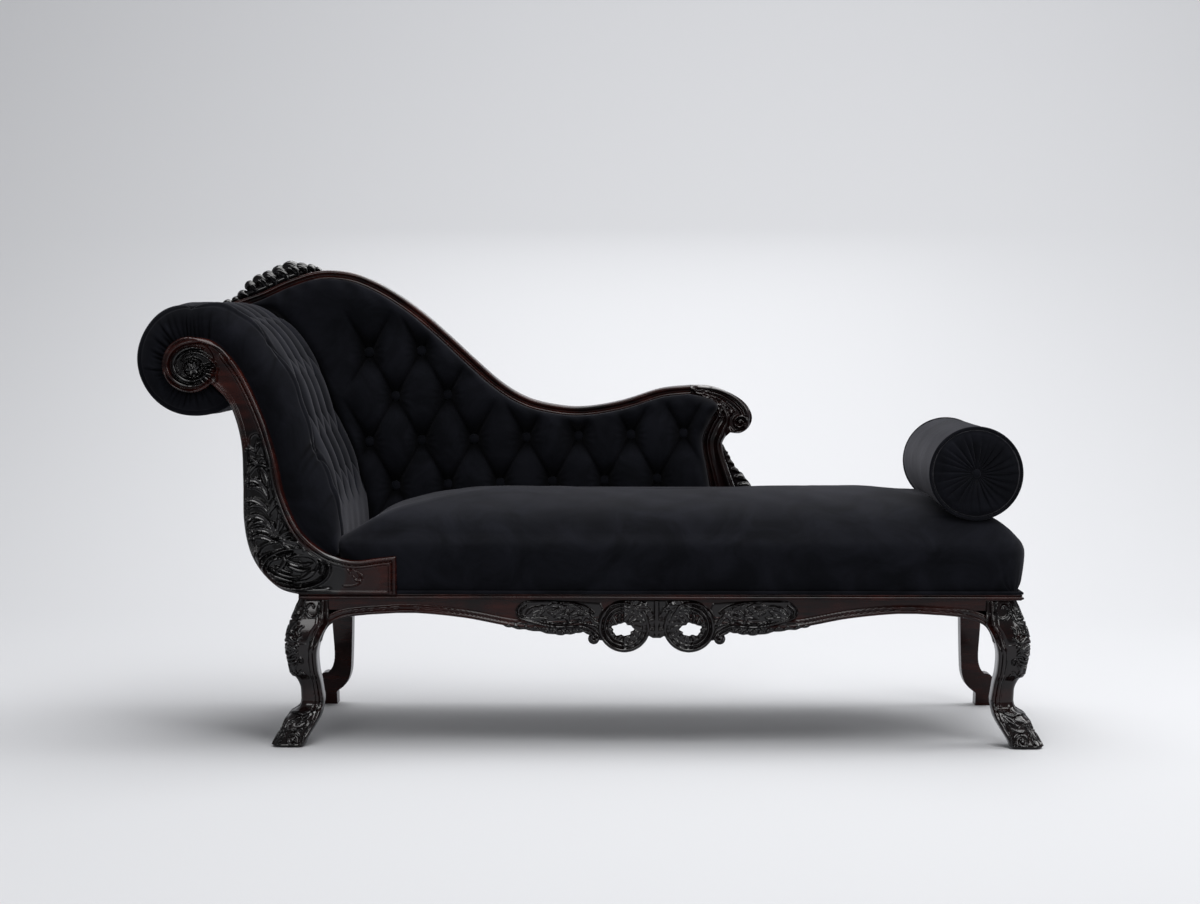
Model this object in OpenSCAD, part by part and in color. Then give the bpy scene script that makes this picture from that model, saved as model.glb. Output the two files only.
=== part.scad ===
// Fainting couch with a rolled head, a sloping buttoned back and a loose bolster.
// Millimetres. X runs from the head (left) to the foot, Y from front to back, Z up from the floor.
// The origin is on the floor under the middle of the couch.

/* [Seat frame] */
// Length of the seat frame over the legs
frame_l = 1387; // [1150:1:1650]
// Depth of the seat frame from front legs to back legs
frame_d = 575; // [500:1:650]
// Height of the underside of the seat moulding
leg_h = 283; // [240:1:340]
// Height of the rails above the underside of the moulding
rail_rise = 47; // [40:1:60]
// Height of the plain rails
rail_h = 76; // [66:1:84]
// Thickness of the rails
rail_t = 26; // [20:1:32]
// Thickness of the front apron
apron_t = 24; // [18:1:28]
// Setback of the rails from the face of the legs
rail_setback = 2; // [1:0.5:5]
// Length of the rail tenons
tenon_l = 18; // [10:1:24]
// Height of the seat moulding
moulding_h = 11; // [8:1:16]
// Projection of the seat moulding from the legs
moulding_out = 14; // [8:1:18]
// Width of the cross bearers
bearer_w = 45; // [30:1:60]
// Thickness of the cross bearers
bearer_t = 22; // [16:1:30]
// Size of the corner blocks along the rails
corner_block_l = 105; // [80:1:140]
// Thickness of the corner blocks
corner_block_t = 28; // [20:1:36]
// Radius of the screws in the corner blocks
screw_r = 2.5; // [2:0.1:3.5]

/* [Legs] */
// Width of the front leg blocks
front_block_w = 58; // [50:1:66]
// Width of the front legs at the knee
knee_w = 64; // [54:1:74]
// How far the front toes reach past the frame, sideways
toe_reach = 46; // [30:1:56]
// How far the front toes reach past the frame, forwards
toe_reach_front = 50; // [35:1:60]
// Width of the back legs
rear_leg_w = 45; // [38:1:52]
// How far the back feet splay sideways
rear_splay = 28; // [16:1:36]
// How far the back feet rake backwards
rear_rake = 25; // [12:1:36]
// Radius of the disc on the back legs
rear_disc_r = 17; // [13:0.5:20]

/* [Head] */
// How far the roll reaches past the seat frame
head_reach = 311; // [260:1:350]
// Height of the head above the seat moulding
head_h = 563; // [500:1:620]
// Radius of the velvet roll
roll_r = 106; // [96:1:112]
// Radius of the carved volute
volute_r = 54; // [46:0.5:60]
// Thickness of the carved facing
facing_t = 21; // [16:1:26]
// Thickness of the frames behind the facing
head_frame_t = 28; // [22:1:34]
// Radius of the bead along the edge of the facing
bead_r = 5; // [3.5:0.1:6.5]
// Width of the head stretchers
stretcher_w = 58; // [44:1:66]
// Thickness of the head stretchers
stretcher_t = 24; // [18:1:30]
// Depth of the tufts in the head pad
head_tuft = 16; // [8:1:22]

/* [Back] */
// Height of the crest above the seat moulding
back_h = 643; // [560:1:720]
// Length of the back from the roll to the tail scroll
back_l = 1119; // [900:1:1300]
// Thickness of the back frame
back_frame_t = 38; // [30:1:44]
// Thickness of the crest rail
crest_t = 20; // [16:1:26]
// Depth of the crest rail
crest_d = 48; // [42:1:56]
// Height that the crest carving adds
crest_leaf_h = 42; // [30:1:50]
// Thickness of the buttoned back pad
back_pad_t = 57; // [45:1:66]
// Depth of the tufts in the back pad
back_tuft = 26; // [14:1:32]
// Radius of the velvet buttons
button_r = 11; // [8:0.5:14]

/* [Seat] */
// Height of the crowned seat above the moulding
seat_h = 194; // [170:1:210]
// How far the velvet bulges past the frame
seat_bulge = 21; // [16:1:26]
// Clearance between the foam block and the velvet over it
foam_side = 62; // [50:1:80]
// Radius of the welt cord
welt_r = 3.2; // [2:0.1:4]
// Width of the webbing straps
strap_w = 50; // [40:1:60]
// Thickness of the webbing
strap_t = 2.4; // [1.6:0.1:3]
// Number of crosswise straps
cross_straps = 12; // [8:1:14]
// Number of lengthwise straps
long_straps = 5; // [4:1:6]

/* [Bolster] */
// Radius of the bolster
bolster_r = 91.5; // [80:0.5:100]
// Length of the bolster
bolster_l = 556; // [480:1:570]
// Radius of the piping cord
piping_r = 3; // [2:0.1:4]
// Number of pleats in each end
pleats = 24; // [16:2:32]

/* [Apron] */
// Outer radius of the carved rings
ring_r = 51; // [44:0.5:54]
// Width of the moulded rings
ring_w = 17; // [12:0.5:20]
// Distance between the rings, centre to centre
ring_pitch = 126; // [116:1:140]
// Space between the rings and the moulding
ring_space = 1; // [0.5:0.5:6]
// Relief of the carving on the apron
carving_t = 9; // [6:0.5:12]

/* [Hidden] */
wood = "#241512";
hidden_wood = "#a98a62";
velvet = "#14161c";
steel = "#8d9094";
jute = "#8c7a58";
$fn = 48;

// Clearance between pieces that meet, and the overrun of every cut
gap = 0.3;
over = 1;

// Places of the frame
mid_x = (head_reach - toe_reach) / 2;
mid_y = (toe_reach_front - rear_rake) / 2;
head_x = mid_x - frame_l / 2;
foot_x = mid_x + frame_l / 2;
front_y = mid_y - frame_d / 2;
back_y = mid_y + frame_d / 2;
deck_z = leg_h + moulding_h;
rail_top = leg_h + rail_rise;
rail_bottom = rail_top - rail_h;
apron_y = front_y + rail_setback;
facing_y = front_y - facing_t;
back_face_y = back_y - back_frame_t;
pad_face_y = back_face_y - back_pad_t;

// A smooth curve through a few points: the point at share t of its length
function blend(a, b, c, d, t) =
    0.5 * (2 * b + (c - a) * t + (2 * a - 5 * b + 4 * c - d) * t * t + (3 * b - a - 3 * c + d) * t * t * t);
function at(pts, t) =
    let (n = len(pts) - 1, s = min(n - 1, floor(t * n)))
    blend(pts[max(s - 1, 0)], pts[s], pts[s + 1], pts[min(s + 2, n)], t * n - s);
function curve(pts, n) = [for (i = [0:n]) at(pts, i / n)];
function arc(c, r, from, to, n) =
    [for (i = [0:n]) let (a = from + (to - from) * i / n) c + r * [cos(a), sin(a)]];
function unit(v) = v / norm(v);
function heading(pts, i) = unit(pts[min(i + 1, len(pts) - 1)] - pts[max(i - 1, 0)]);
function left_of(v) = [-v[1], v[0]];
// The same curve moved to its left by d
function shifted(pts, d) = [for (i = [0:len(pts) - 1]) pts[i] + d * left_of(heading(pts, i))];
function reversed(pts) = [for (i = [len(pts) - 1:-1:0]) pts[i]];
function scaled(shares, size) = [for (p = shares) [p[0] * size[0], p[1] * size[1]]];
function placed(pts, origin) = [for (p = pts) p + origin];
function ease(t) = let (c = min(1, max(0, t))) c * c * (3 - 2 * c);

// Triangles between rings of n points, with an optional last step back to the first ring
function ring_faces(rings, n) = [for (k = [0:rings - 2], i = [0:n - 1])
    let (a = k * n + i, b = k * n + (i + 1) % n, c = a + n, d = b + n) each [[a, d, b], [a, c, d]]];
// A cap over a ring whose points i and n - i face each other
function zip_cap(first, n, up) = [for (i = [0:n / 2 - 1])
    let (a = first + i, b = first + i + 1, c = first + (n - i - 1) % n, d = first + (n - i) % n)
    each (i == 0 ? (up ? [[a, c, b]] : [[a, b, c]])
        : i == n / 2 - 1 ? (up ? [[a, d, b]] : [[a, b, d]])
        : (up ? [[a, c, b], [a, d, c]] : [[a, b, c], [a, c, d]]))];
module loft(rings) {
    n = len(rings[0]);
    polyhedron(points = [for (r = rings) each r],
        faces = concat(ring_faces(len(rings), n), zip_cap(0, n, false),
            zip_cap((len(rings) - 1) * n, n, true)));
}

// A closed section drawn along a path in the XZ plane. Each section point is [out, across].
function sweep_ring(path, i, section, y) =
    let (h = heading(path, i), s = left_of(h))
    [for (p = section) [path[i][0] + s[0] * p[0], y + p[1], path[i][1] + s[1] * p[0]]];
module sweep_xz(path, section, y) {
    loft([for (i = [len(path) - 1:-1:0]) sweep_ring(path, i, section, y)]);
}
function round_section(r, n) = [for (i = [0:n - 1]) r * [cos(360 * i / n), sin(360 * i / n)]];
// An outline in the XZ plane, extruded towards +Y
module board_xz(pts, y, t) {
    translate([0, y + t, 0]) rotate([90, 0, 0]) linear_extrude(t) polygon(pts);
}

// A padded panel: a face grid of columns of rows, and a flat back with fewer rows
function pad_index(i, j, rows) = i * (rows + 1) + j;
function pad_face(cols, rows) = [for (i = [0:cols - 1], j = [0:rows - 1])
    let (a = pad_index(i, j, rows), b = pad_index(i + 1, j, rows)) each [[a, b + 1, b], [a, a + 1, b + 1]]];
function pad_back(cols, rows, step, base) = [for (i = [0:cols - 1], k = [0:step:rows - 1])
    let (a = base + pad_index(i, k, rows), b = base + pad_index(i + 1, k, rows))
    each (i == 0 ? concat([for (j = [0:step - 1]) [b, a + j + 1, a + j]], [[b, b + step, a + step]])
        : i == cols - 1 ? concat([for (j = [0:step - 1]) [a, b + j, b + j + 1]], [[a, b + step, a + step]])
        : [[a, b, b + step], [a, b + step, a + step]])];
function pad_sides(cols, rows, base) = concat(
    [for (i = [0:cols - 1], j = [0, rows]) let (a = pad_index(i, j, rows), b = pad_index(i + 1, j, rows))
        each (j == 0 ? [[a, b, base + b], [a, base + b, base + a]] : [[a, base + b, b], [a, base + a, base + b]])],
    [for (j = [0:rows - 1], i = [0, cols]) let (a = pad_index(i, j, rows))
        each (i == 0 ? [[a, base + a + 1, a + 1], [a, base + a, base + a + 1]]
            : [[a, a + 1, base + a + 1], [a, base + a + 1, base + a]])]);
module pad(face, back, step) {
    cols = len(face) - 1;
    rows = len(face[0]) - 1;
    base = (cols + 1) * (rows + 1);
    polyhedron(points = concat([for (c = face) each c], [for (c = back) each c]),
        faces = concat(pad_face(cols, rows), pad_back(cols, rows, step, base), pad_sides(cols, rows, base)));
}

// Head: edges of the carved facing in shares of head_reach and head_h, from the frame corner
head_origin = [head_x, deck_z];
head_size = [head_reach, head_h];
facing_inner_share = [[0.614, 0.133], [0.51, 0.127], [0.335, 0.117], [0.167, 0.146], [0.013, 0.22],
    [-0.087, 0.34], [-0.14, 0.477], [-0.22, 0.616], [-0.354, 0.768], [-0.508, 0.863], [-0.666, 0.883]];
facing_outer_share = [[-0.54, 0.72], [-0.418, 0.65], [-0.35, 0.53], [-0.338, 0.392], [-0.334, 0.254],
    [-0.299, 0.151], [-0.225, 0.076], [-0.113, 0.02], [0.003, 0]];
crown_share = [[-0.666, 0.995], [-0.47, 0.997], [-0.254, 0.925], [-0.1, 0.729], [0.07, 0.527],
    [0.196, 0.388], [0.257, 0.25], [0.278, 0.158]];
volute_share = [-0.666, 0.787];
volute_c = [head_x + volute_share[0] * head_reach, deck_z + volute_share[1] * head_h];
roll_c = [head_x - head_reach + roll_r, deck_z + head_h - roll_r];
hook_angle = 318;
edge_steps = 40;
facing_inner = concat(
    curve(placed(scaled([for (i = [0:len(facing_inner_share) - 2]) facing_inner_share[i]], head_size),
        head_origin), edge_steps),
    arc(volute_c, volute_r, 84, 90, 1));
facing_disc = arc(volute_c, volute_r, 96, hook_angle, 22);
facing_outer = curve(concat([volute_c + volute_r * [cos(hook_angle + 6), sin(hook_angle + 6)]],
    placed(scaled([for (i = [1:len(facing_outer_share) - 1]) facing_outer_share[i]], head_size),
        head_origin)), 28);
facing_outline = concat(facing_inner, facing_disc, facing_outer,
    [[facing_inner[0][0], deck_z]]);
// Places that several pieces share
facing_end_x = facing_inner[0][0];
frame_inset = 8;
border_t = 7;
border_pleat = 4;
pad_front_y = front_y + border_t;
pad_back_y = back_face_y - border_t;
frame_inner_y = front_y + head_frame_t;
frame_stop_share = 0.26;
frame_stop_x = head_x + frame_stop_share * head_reach;

// Back: the crest line and the tail scroll in shares of back_l and of the height over the rails,
// from under the roll
back_size = [back_l, back_h - (rail_top - deck_z)];
back_start_share = -0.704;
back_origin = [head_x + back_start_share * head_reach, rail_top];
crest_share = [[0.004, 0.877], [0.062, 0.914], [0.115, 0.958], [0.173, 0.989], [0.231, 0.984],
    [0.279, 0.953], [0.326, 0.905], [0.374, 0.84], [0.422, 0.763], [0.469, 0.682], [0.517, 0.605],
    [0.559, 0.555], [0.603, 0.528], [0.67, 0.513], [0.747, 0.534], [0.823, 0.576], [0.88, 0.588]];
crest_points = placed(scaled(crest_share, back_size), back_origin);
crest_line = curve(crest_points, 64);
tail_top_share = [[0.88, 0.588], [0.918, 0.585], [0.957, 0.56], [0.985, 0.525], [0.998, 0.481],
    [0.993, 0.442], [0.975, 0.419], [0.957, 0.423]];
tail_stem_share = [[0.948, 0.407], [0.942, 0.38], [0.946, 0.333], [0.958, 0.269], [0.975, 0.184],
    [0.995, 0.089], [1.015, 0.004]];
tail_inner_share = [[0.94, 0.004], [0.93, 0.089], [0.92, 0.195], [0.911, 0.28], [0.902, 0.364],
    [0.903, 0.415], [0.915, 0.464], [0.93, 0.498], [0.929, 0.524], [0.909, 0.542], [0.88, 0.553]];
leaf_outer_share = [[0.949, 0.375], [0.954, 0.338], [0.967, 0.296], [0.981, 0.269], [1.004, 0.211],
    [1.03, 0.142], [1.055, 0.063], [1.07, 0.004]];
crest_end = crest_line[len(crest_line) - 1] + gap * heading(crest_line, len(crest_line) - 1);
tail_top = concat([crest_end], [for (i = [1:20])
    at(placed(scaled(tail_top_share, back_size), back_origin), i / 20)]);
tail_stem = curve(placed(scaled(tail_stem_share, back_size), back_origin), 14);
tail_inner = concat([for (i = [0:25]) at(placed(scaled(tail_inner_share, back_size), back_origin), i / 26)],
    [crest_end - crest_t * left_of(heading(crest_line, len(crest_line) - 1))]);
leaf_outer = curve(placed(scaled(leaf_outer_share, back_size), back_origin), 14);
tail_end_x = leaf_outer[len(leaf_outer) - 1][0];
tail_volute_share = [0.975, 0.457];
tail_volute_r = 18;
tail_volute_c = placed(scaled([tail_volute_share], back_size), back_origin)[0];

// Mirrors its children from the head end to the foot end of the frame
module at_foot() { translate([2 * mid_x, 0, 0]) mirror([1, 0, 0]) children(); }
// A box given by its low and high corners
module box(low, high) { translate(low) cube(high - low); }
// The same box, larger by the clearance, for the hole that a tenon or block goes in
module socket(low, high) { box(low - [gap, gap, gap], high + [gap, gap, gap]); }

// Joints of the seat frame: each tenon is a third of its rail's thickness and half its height
apron_low = [head_x + front_block_w, apron_y, rail_bottom];
apron_high = [foot_x - front_block_w, apron_y + apron_t, rail_top];
end_rail_x = head_x + rail_setback;
end_rail_y = [front_y + front_block_w, back_y - rear_leg_w];
back_rail_t = back_frame_t + tenon_l / 2;
back_rail_y = back_y - rail_setback - back_rail_t;
back_rail_x = [head_x + rear_leg_w, foot_x - rear_leg_w];
tenon_z = [rail_bottom + rail_h / 4, rail_top - rail_h / 4];
function tenon_low_x(x, y, t) = [x, y + t / 3, tenon_z[0]];
function tenon_high_x(x, y, t) = [x + tenon_l, y + 2 * t / 3, tenon_z[1]];
function tenon_low_y(y) = [end_rail_x + rail_t / 3, y, tenon_z[0]];
function tenon_high_y(y) = [end_rail_x + 2 * rail_t / 3, y + tenon_l, tenon_z[1]];

// Front apron: half of its lower edge, in shares of half its length and of the bracket's drop
bracket_drop = 59;
apron_share = [[1, 0.85], [0.985, 0.755], [0.965, 0.66], [0.94, 0.59], [0.9, 0.54], [0.85, 0.5],
    [0.74, 0.46], [0.585, 0.62], [0.43, 0.92], [0.3, 0.95], [0.2, 0.82], [0.1, 0.72], [0, 0.7]];
apron_half = (apron_high[0] - apron_low[0]) / 2;
apron_edge = curve([for (p = apron_share) [mid_x - p[0] * apron_half, leg_h - p[1] * bracket_drop]], 44);
// Half width and half height of the pierced ovals, and how far they lie out from and below the rings
hole_half = [20.5, 13.5];
hole_out = 3;
hole_drop = 6.5;
ring_z = leg_h - ring_space - ring_r;
ring_x = [mid_x - ring_pitch / 2, mid_x + ring_pitch / 2];
module ring_holes() {
    for (side = [-1, 1]) board_xz([for (i = [0:2:$fn - 1]) [mid_x + side * (ring_pitch / 2 + hole_out)
        + hole_half[0] * cos(360 * i / $fn), ring_z - hole_drop + hole_half[1] * sin(360 * i / $fn)]],
        apron_y - carving_t - over, apron_t + carving_t + 2 * over);
}
module front_apron() {
    edge_right = [for (p = reversed(apron_edge)) [2 * mid_x - p[0], p[1]]];
    lower = concat(apron_edge, [for (i = [1:len(edge_right) - 1]) edge_right[i]]);
    color(wood) union() {
        difference() {
            union() {
                board_xz(concat(lower, [[apron_high[0], rail_top], [apron_low[0], rail_top]]), apron_y, apron_t);
                for (x = ring_x) translate([x, apron_y + apron_t, ring_z]) rotate([90, 0, 0])
                    cylinder(r = ring_r - ring_w / 3, h = apron_t);
            }
            ring_holes();
            screw_holes();
        }
        box(tenon_low_x(apron_low[0] - tenon_l, apron_y, apron_t), tenon_high_x(apron_low[0], apron_y, apron_t));
        box(tenon_low_x(apron_high[0] - tenon_l, apron_y, apron_t), tenon_high_x(apron_high[0], apron_y, apron_t));
    }
}

// Pierced carving on the apron: two moulded rings, a bar between them, scroll knobs and leaf sprays
spray_share = [[0.2, 0.05], [0.3, 0.06], [0.42, 0.1], [0.47, 0.25], [0.455, 0.48], [0.4, 0.62],
    [0.3, 0.78], [0.235, 0.96], [0.21, 1.3], [0.18, 1.38], [0.165, 1.2], [0.155, 0.4]];
rib_share = [[0.42, 0.1], [0.33, 0.4], [0.3, 0.78]];
knob_share = [0.192, 1.3];
knob_r = 10;
bar_w = 9;
bar_drop = 84;
// Where a point of the sprays lies: they run from the rings' outer edge along the rest of the apron
ring_edge_share = 0.18;
ring_edge = ring_pitch / 2 + ring_r;
function spray_point(p) = [mid_x - ring_edge - (p[0] - ring_edge_share) / (1 - ring_edge_share)
    * (apron_half - ring_edge), leg_h - p[1] * bracket_drop];
module moulded_ring(r, w, t) {
    rotate([90, 0, 0]) rotate_extrude() translate([r - w, 0])
        polygon([[0, 0], [w, 0], [w, t / 2], [0.86 * w, 0.82 * t], [0.6 * w, t], [0.42 * w, t],
                 [0.3 * w, 0.7 * t], [0.2 * w, 0.86 * t], [0.08 * w, 0.8 * t], [0, t / 2]]);
}
module spray() {
    pts = curve([for (p = concat(spray_share, [spray_share[0]])) spray_point(p)], 40);
    board_xz([for (i = [0:len(pts) - 2]) pts[i]], apron_y - carving_t / 2, carving_t / 2);
    rib = curve([for (p = rib_share) spray_point(p)], 10);
    sweep_xz(rib, round_section(carving_t / 3, 6), apron_y - carving_t / 2);
    translate([spray_point(knob_share)[0], apron_y, spray_point(knob_share)[1]])
        rotate([90, 0, 0]) cylinder(r = knob_r, h = carving_t);
}
module apron_cartouche() {
    color(wood) difference() {
        union() {
            for (x = ring_x) translate([x, apron_y, ring_z]) {
                moulded_ring(ring_r, ring_w, carving_t);
                rotate([90, 0, 0]) cylinder(r = ring_r - ring_w / 2, h = carving_t / 2);
            }
            board_xz([[ring_x[0] - ring_r / 2, ring_z + ring_r / 2], [ring_x[1] + ring_r / 2, ring_z + ring_r / 2],
                      [ring_x[1] + ring_r / 2, leg_h], [ring_x[0] - ring_r / 2, leg_h]],
                apron_y - carving_t / 2, carving_t / 2);
            board_xz([[mid_x - bar_w / 2, leg_h - bar_drop], [mid_x + bar_w / 2, leg_h - bar_drop],
                      [mid_x + bar_w, leg_h], [mid_x - bar_w, leg_h]], apron_y - carving_t, carving_t);
            spray();
            at_foot() spray();
        }
        ring_holes();
    }
}

// Seat moulding and welt: a profile of [out, up] points run round three sides with mitred corners
moulding_share = [[0, 0], [0.6, 0], [0.82, 0.12], [0.82, 0.3], [1, 0.42], [1, 0.78], [0.86, 1], [0, 1]];
module mitred_run(start_x, profile) {
    runs = [[start_x, front_y, 0, -1], [foot_x, front_y, 1, -1], [foot_x, back_y, 1, 1], [head_x, back_y, 0, 1]];
    loft([for (c = runs) [for (p = profile) [c[0] + c[2] * p[0], c[1] + c[3] * p[0], p[1]]]]);
}
module seat_moulding() {
    color(wood) mitred_run(head_x,
        [for (p = reversed(moulding_share)) [p[0] * moulding_out, leg_h + p[1] * moulding_h]]);
}
module seat_welt() {
    color(velvet) mitred_run(facing_end_x + gap,
        [for (p = round_section(welt_r, 8)) [seat_rows_share[0][0] * seat_bulge + end_bow + welt_r + gap - p[0],
            deck_z + welt_r + p[1]]]);
}

// Plain rails of the seat frame
module end_rail() {
    box([end_rail_x, end_rail_y[0], rail_bottom], [end_rail_x + rail_t, end_rail_y[1], rail_top]);
    box(tenon_low_y(end_rail_y[0] - tenon_l), tenon_high_y(end_rail_y[0]));
    box(tenon_low_y(end_rail_y[1] - tenon_l), tenon_high_y(end_rail_y[1]));
}
module head_seat_rail() { color(hidden_wood) difference() { end_rail(); screw_holes(); } }
module foot_seat_rail() { color(hidden_wood) difference() { at_foot() end_rail(); screw_holes(); } }
back_tenon_y = back_y - rear_leg_w / 2 - tenon_l / 4;
back_tenon_t = tenon_l / 2;
module back_tenon(x) { box([x, back_tenon_y, tenon_z[0]], [x + tenon_l, back_tenon_y + back_tenon_t, tenon_z[1]]); }
module back_seat_rail() {
    color(hidden_wood) difference() {
        union() {
            box([back_rail_x[0], back_rail_y, rail_bottom], [back_rail_x[1], back_rail_y + back_rail_t, rail_top]);
            back_tenon(back_rail_x[0] - tenon_l);
            back_tenon(back_rail_x[1]);
        }
        screw_holes();
    }
}
module seat_bearers() {
    spacing = (back_rail_x[1] - back_rail_x[0]) / 3;
    color(hidden_wood) for (k = [1, 2])
        box([back_rail_x[0] + k * spacing - bearer_w / 2, apron_y + apron_t, rail_bottom + bearer_t / 2],
            [back_rail_x[0] + k * spacing + bearer_w / 2, back_rail_y, rail_bottom + 3 * bearer_t / 2]);
}

// Corner blocks: each is a triangle in a corner of the rails, notched round the leg
block_z = [rail_top - 2 * corner_block_t, rail_top - corner_block_t];
screw_reach = corner_block_l / 4;
// One corner: its origin is where the inner faces of the two rails would meet
module in_corners() {
    front_in = apron_y + apron_t;
    translate([end_rail_x + rail_t, front_in, 0]) children();
    at_foot() translate([end_rail_x + rail_t, front_in, 0]) children();
    translate([end_rail_x + rail_t, back_rail_y, 0]) mirror([0, 1, 0]) children();
    at_foot() translate([end_rail_x + rail_t, back_rail_y, 0]) mirror([0, 1, 0]) children();
}
module corner_triangle() {
    translate([0, 0, block_z[0]]) linear_extrude(corner_block_t)
        polygon([[0, 0], [corner_block_l, 0], [0, corner_block_l]]);
}
screw_place = 0.72 * corner_block_l;
module corner_screw_pair(r) {
    z = (block_z[0] + block_z[1]) / 2;
    for (side = [0, 1]) mirror([side, -side, 0])
        translate([screw_place, -rail_setback - apron_t / 2, z]) rotate([-90, 0, 0])
            cylinder(r = r, h = screw_reach + apron_t / 2);
}
module screw_holes() { in_corners() corner_screw_pair(screw_r + gap / 3); }
module corner_blocks() {
    color(hidden_wood) difference() {
        in_corners() corner_triangle();
        leg_sockets();
        screw_holes();
    }
}
module corner_screws() { color(steel) in_corners() corner_screw_pair(screw_r); }
// Space taken by the four leg blocks
module leg_sockets() {
    socket([head_x, front_y, 0], [head_x + front_block_w, front_y + front_block_w, rail_top]);
    socket([foot_x - front_block_w, front_y, 0], [foot_x, front_y + front_block_w, rail_top]);
    socket([head_x, back_y - rear_leg_w, 0], [head_x + rear_leg_w, back_y, rail_top]);
    socket([foot_x - rear_leg_w, back_y - rear_leg_w, 0], [foot_x, back_y, rail_top]);
}

// Front legs: height in shares of leg_h, reach in shares of the toe, width in shares of the knee,
// and how square the section is
leg_share = [[0, 0.97, 0.86, 3], [0.035, 1, 0.94, 3], [0.09, 0.84, 0.97, 3], [0.14, 0.6, 0.92, 2.6],
    [0.19, 0.3, 0.79, 2.6], [0.23, 0.12, 0.73, 2.8], [0.28, -0.02, 0.69, 3], [0.38, 0.01, 0.7, 3.2],
    [0.45, 0.12, 0.77, 3.4], [0.53, 0.29, 0.87, 3.4], [0.62, 0.44, 0.97, 3.4], [0.7, 0.49, 1.03, 3.6],
    [0.78, 0.48, 1.07, 4], [0.85, 0.38, 1.07, 4.4], [0.91, 0.2, 0.99, 5], [0.955, 0.05, 0.9, 6],
    [0.985, -0.03, 0.85, 6]];
leg_sides = 20;
block_share = 0.94;
// The leg's ear, which carries the apron's lower curve on down the leg: shares of the block and of leg_h
ear_share = [[0.914, 0.8], [0.845, 0.772], [0.79, 0.738], [0.755, 0.7]];
ear_root_share = 0.5;
ear_end = leg_h - apron_share[0][1] * bracket_drop;
ear_outline = concat([[head_x + front_block_w, block_share * leg_h]],
    curve(concat([[head_x + front_block_w, ear_end]],
        [for (p = ear_share) [head_x + p[0] * front_block_w, p[1] * leg_h]]), 8),
    [[head_x + ear_root_share * front_block_w, ear_share[3][1] * leg_h],
     [head_x + ear_root_share * front_block_w, block_share * leg_h]]);
function oval(a, e) = [sign(cos(a)) * pow(abs(cos(a)), 2 / e), sign(sin(a)) * pow(abs(sin(a)), 2 / e)];
module front_leg() {
    difference() {
        union() {
            loft([for (s = leg_share) let (w = s[2] * knee_w / 2)
                [for (i = [0:leg_sides - 1]) let (q = oval(360 * i / leg_sides, s[3]))
                    [head_x - s[1] * toe_reach + w + w * q[0], front_y - s[1] * toe_reach_front + w + w * q[1],
                     s[0] * leg_h]]]);
            box([head_x, front_y, block_share * leg_h], [head_x + front_block_w, front_y + front_block_w, rail_top]);
            board_xz(ear_outline, apron_y, apron_t);
        }
        socket(tenon_low_x(apron_low[0] - tenon_l, apron_y, apron_t), tenon_high_x(apron_low[0], apron_y, apron_t));
        socket(tenon_low_y(end_rail_y[0] - tenon_l), tenon_high_y(end_rail_y[0]));
    }
}
module front_leg_head() { color(wood) front_leg(); }
module front_leg_foot() { color(wood) at_foot() front_leg(); }

// Back legs: sawn to one outline from the front and to another from the side
rear_outer_share = [[0, 1], [-0.05, 0.65], [-0.2, 0.4], [-0.05, 0.3], [0.3, 0.25]];
rear_inner_share = [[0.2, 0.1], [0.62, 0.155], [0.86, 0.24], [0.93, 0.36], [0.98, 0.62], [1, 1]];
rear_foot_share = 0.095;
rear_side_share = [[1, 0], [0.8, 0.06], [0.42, 0.2], [0.12, 0.4], [0, 0.6]];
rear_disc_share = [0.42, 0.19];
module rear_leg() {
    foot_w = rear_leg_w - rear_disc_r / 2;
    outer = curve([for (p = rear_outer_share) [head_x - p[0] * rear_splay, p[1] * leg_h]], 14);
    inner = curve([for (p = rear_inner_share) [head_x + p[0] * rear_leg_w, p[1] * leg_h]], 14);
    foot_out = head_x - rear_splay;
    rear_side = curve([for (p = rear_side_share) [back_y + p[0] * rear_rake, p[1] * leg_h]], 12);
    front_side = [for (p = reversed(rear_side)) p - [rear_leg_w, 0]];
    disc = [head_x - rear_disc_share[0] * rear_splay, rear_disc_share[1] * leg_h];
    difference() {
        intersection() {
            union() {
                board_xz(concat([[head_x, rail_top]], outer, [[foot_out, rear_foot_share * leg_h], [foot_out, 0],
                    [foot_out + foot_w, 0], [foot_out + foot_w, rear_foot_share * leg_h]], inner,
                    [[head_x + rear_leg_w, rail_top]]), back_y - rear_leg_w - over,
                    rear_leg_w + rear_rake + 2 * over);
                translate([disc[0], back_y + rear_rake + over, disc[1]]) rotate([90, 0, 0])
                    cylinder(r = rear_disc_r, h = rear_leg_w + rear_rake + 2 * over);
            }
            board_yz(concat(rear_side, [[back_y, rail_top], [back_y - rear_leg_w, rail_top]], front_side),
                head_x - rear_splay - rear_leg_w, 3 * rear_leg_w);
        }
        translate([-gap, 0, -gap]) tenon_socket(back_rail_x[0] - tenon_l);
        socket(tenon_low_y(end_rail_y[1] - tenon_l), tenon_high_y(end_rail_y[1]));
    }
}
module tenon_socket(x) {
    box([x, back_tenon_y - gap, tenon_z[0]],
        [x + tenon_l + 2 * gap, back_tenon_y + back_tenon_t + gap, tenon_z[1] + 2 * gap]);
}
// An outline in the YZ plane, extruded towards +X
module board_yz(pts, x, t) {
    translate([x, 0, 0]) rotate([90, 0, 90]) linear_extrude(t) polygon(pts);
}
module rear_leg_head() { color(wood) rear_leg(); }
module rear_leg_foot() { color(wood) at_foot() rear_leg(); }

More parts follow.
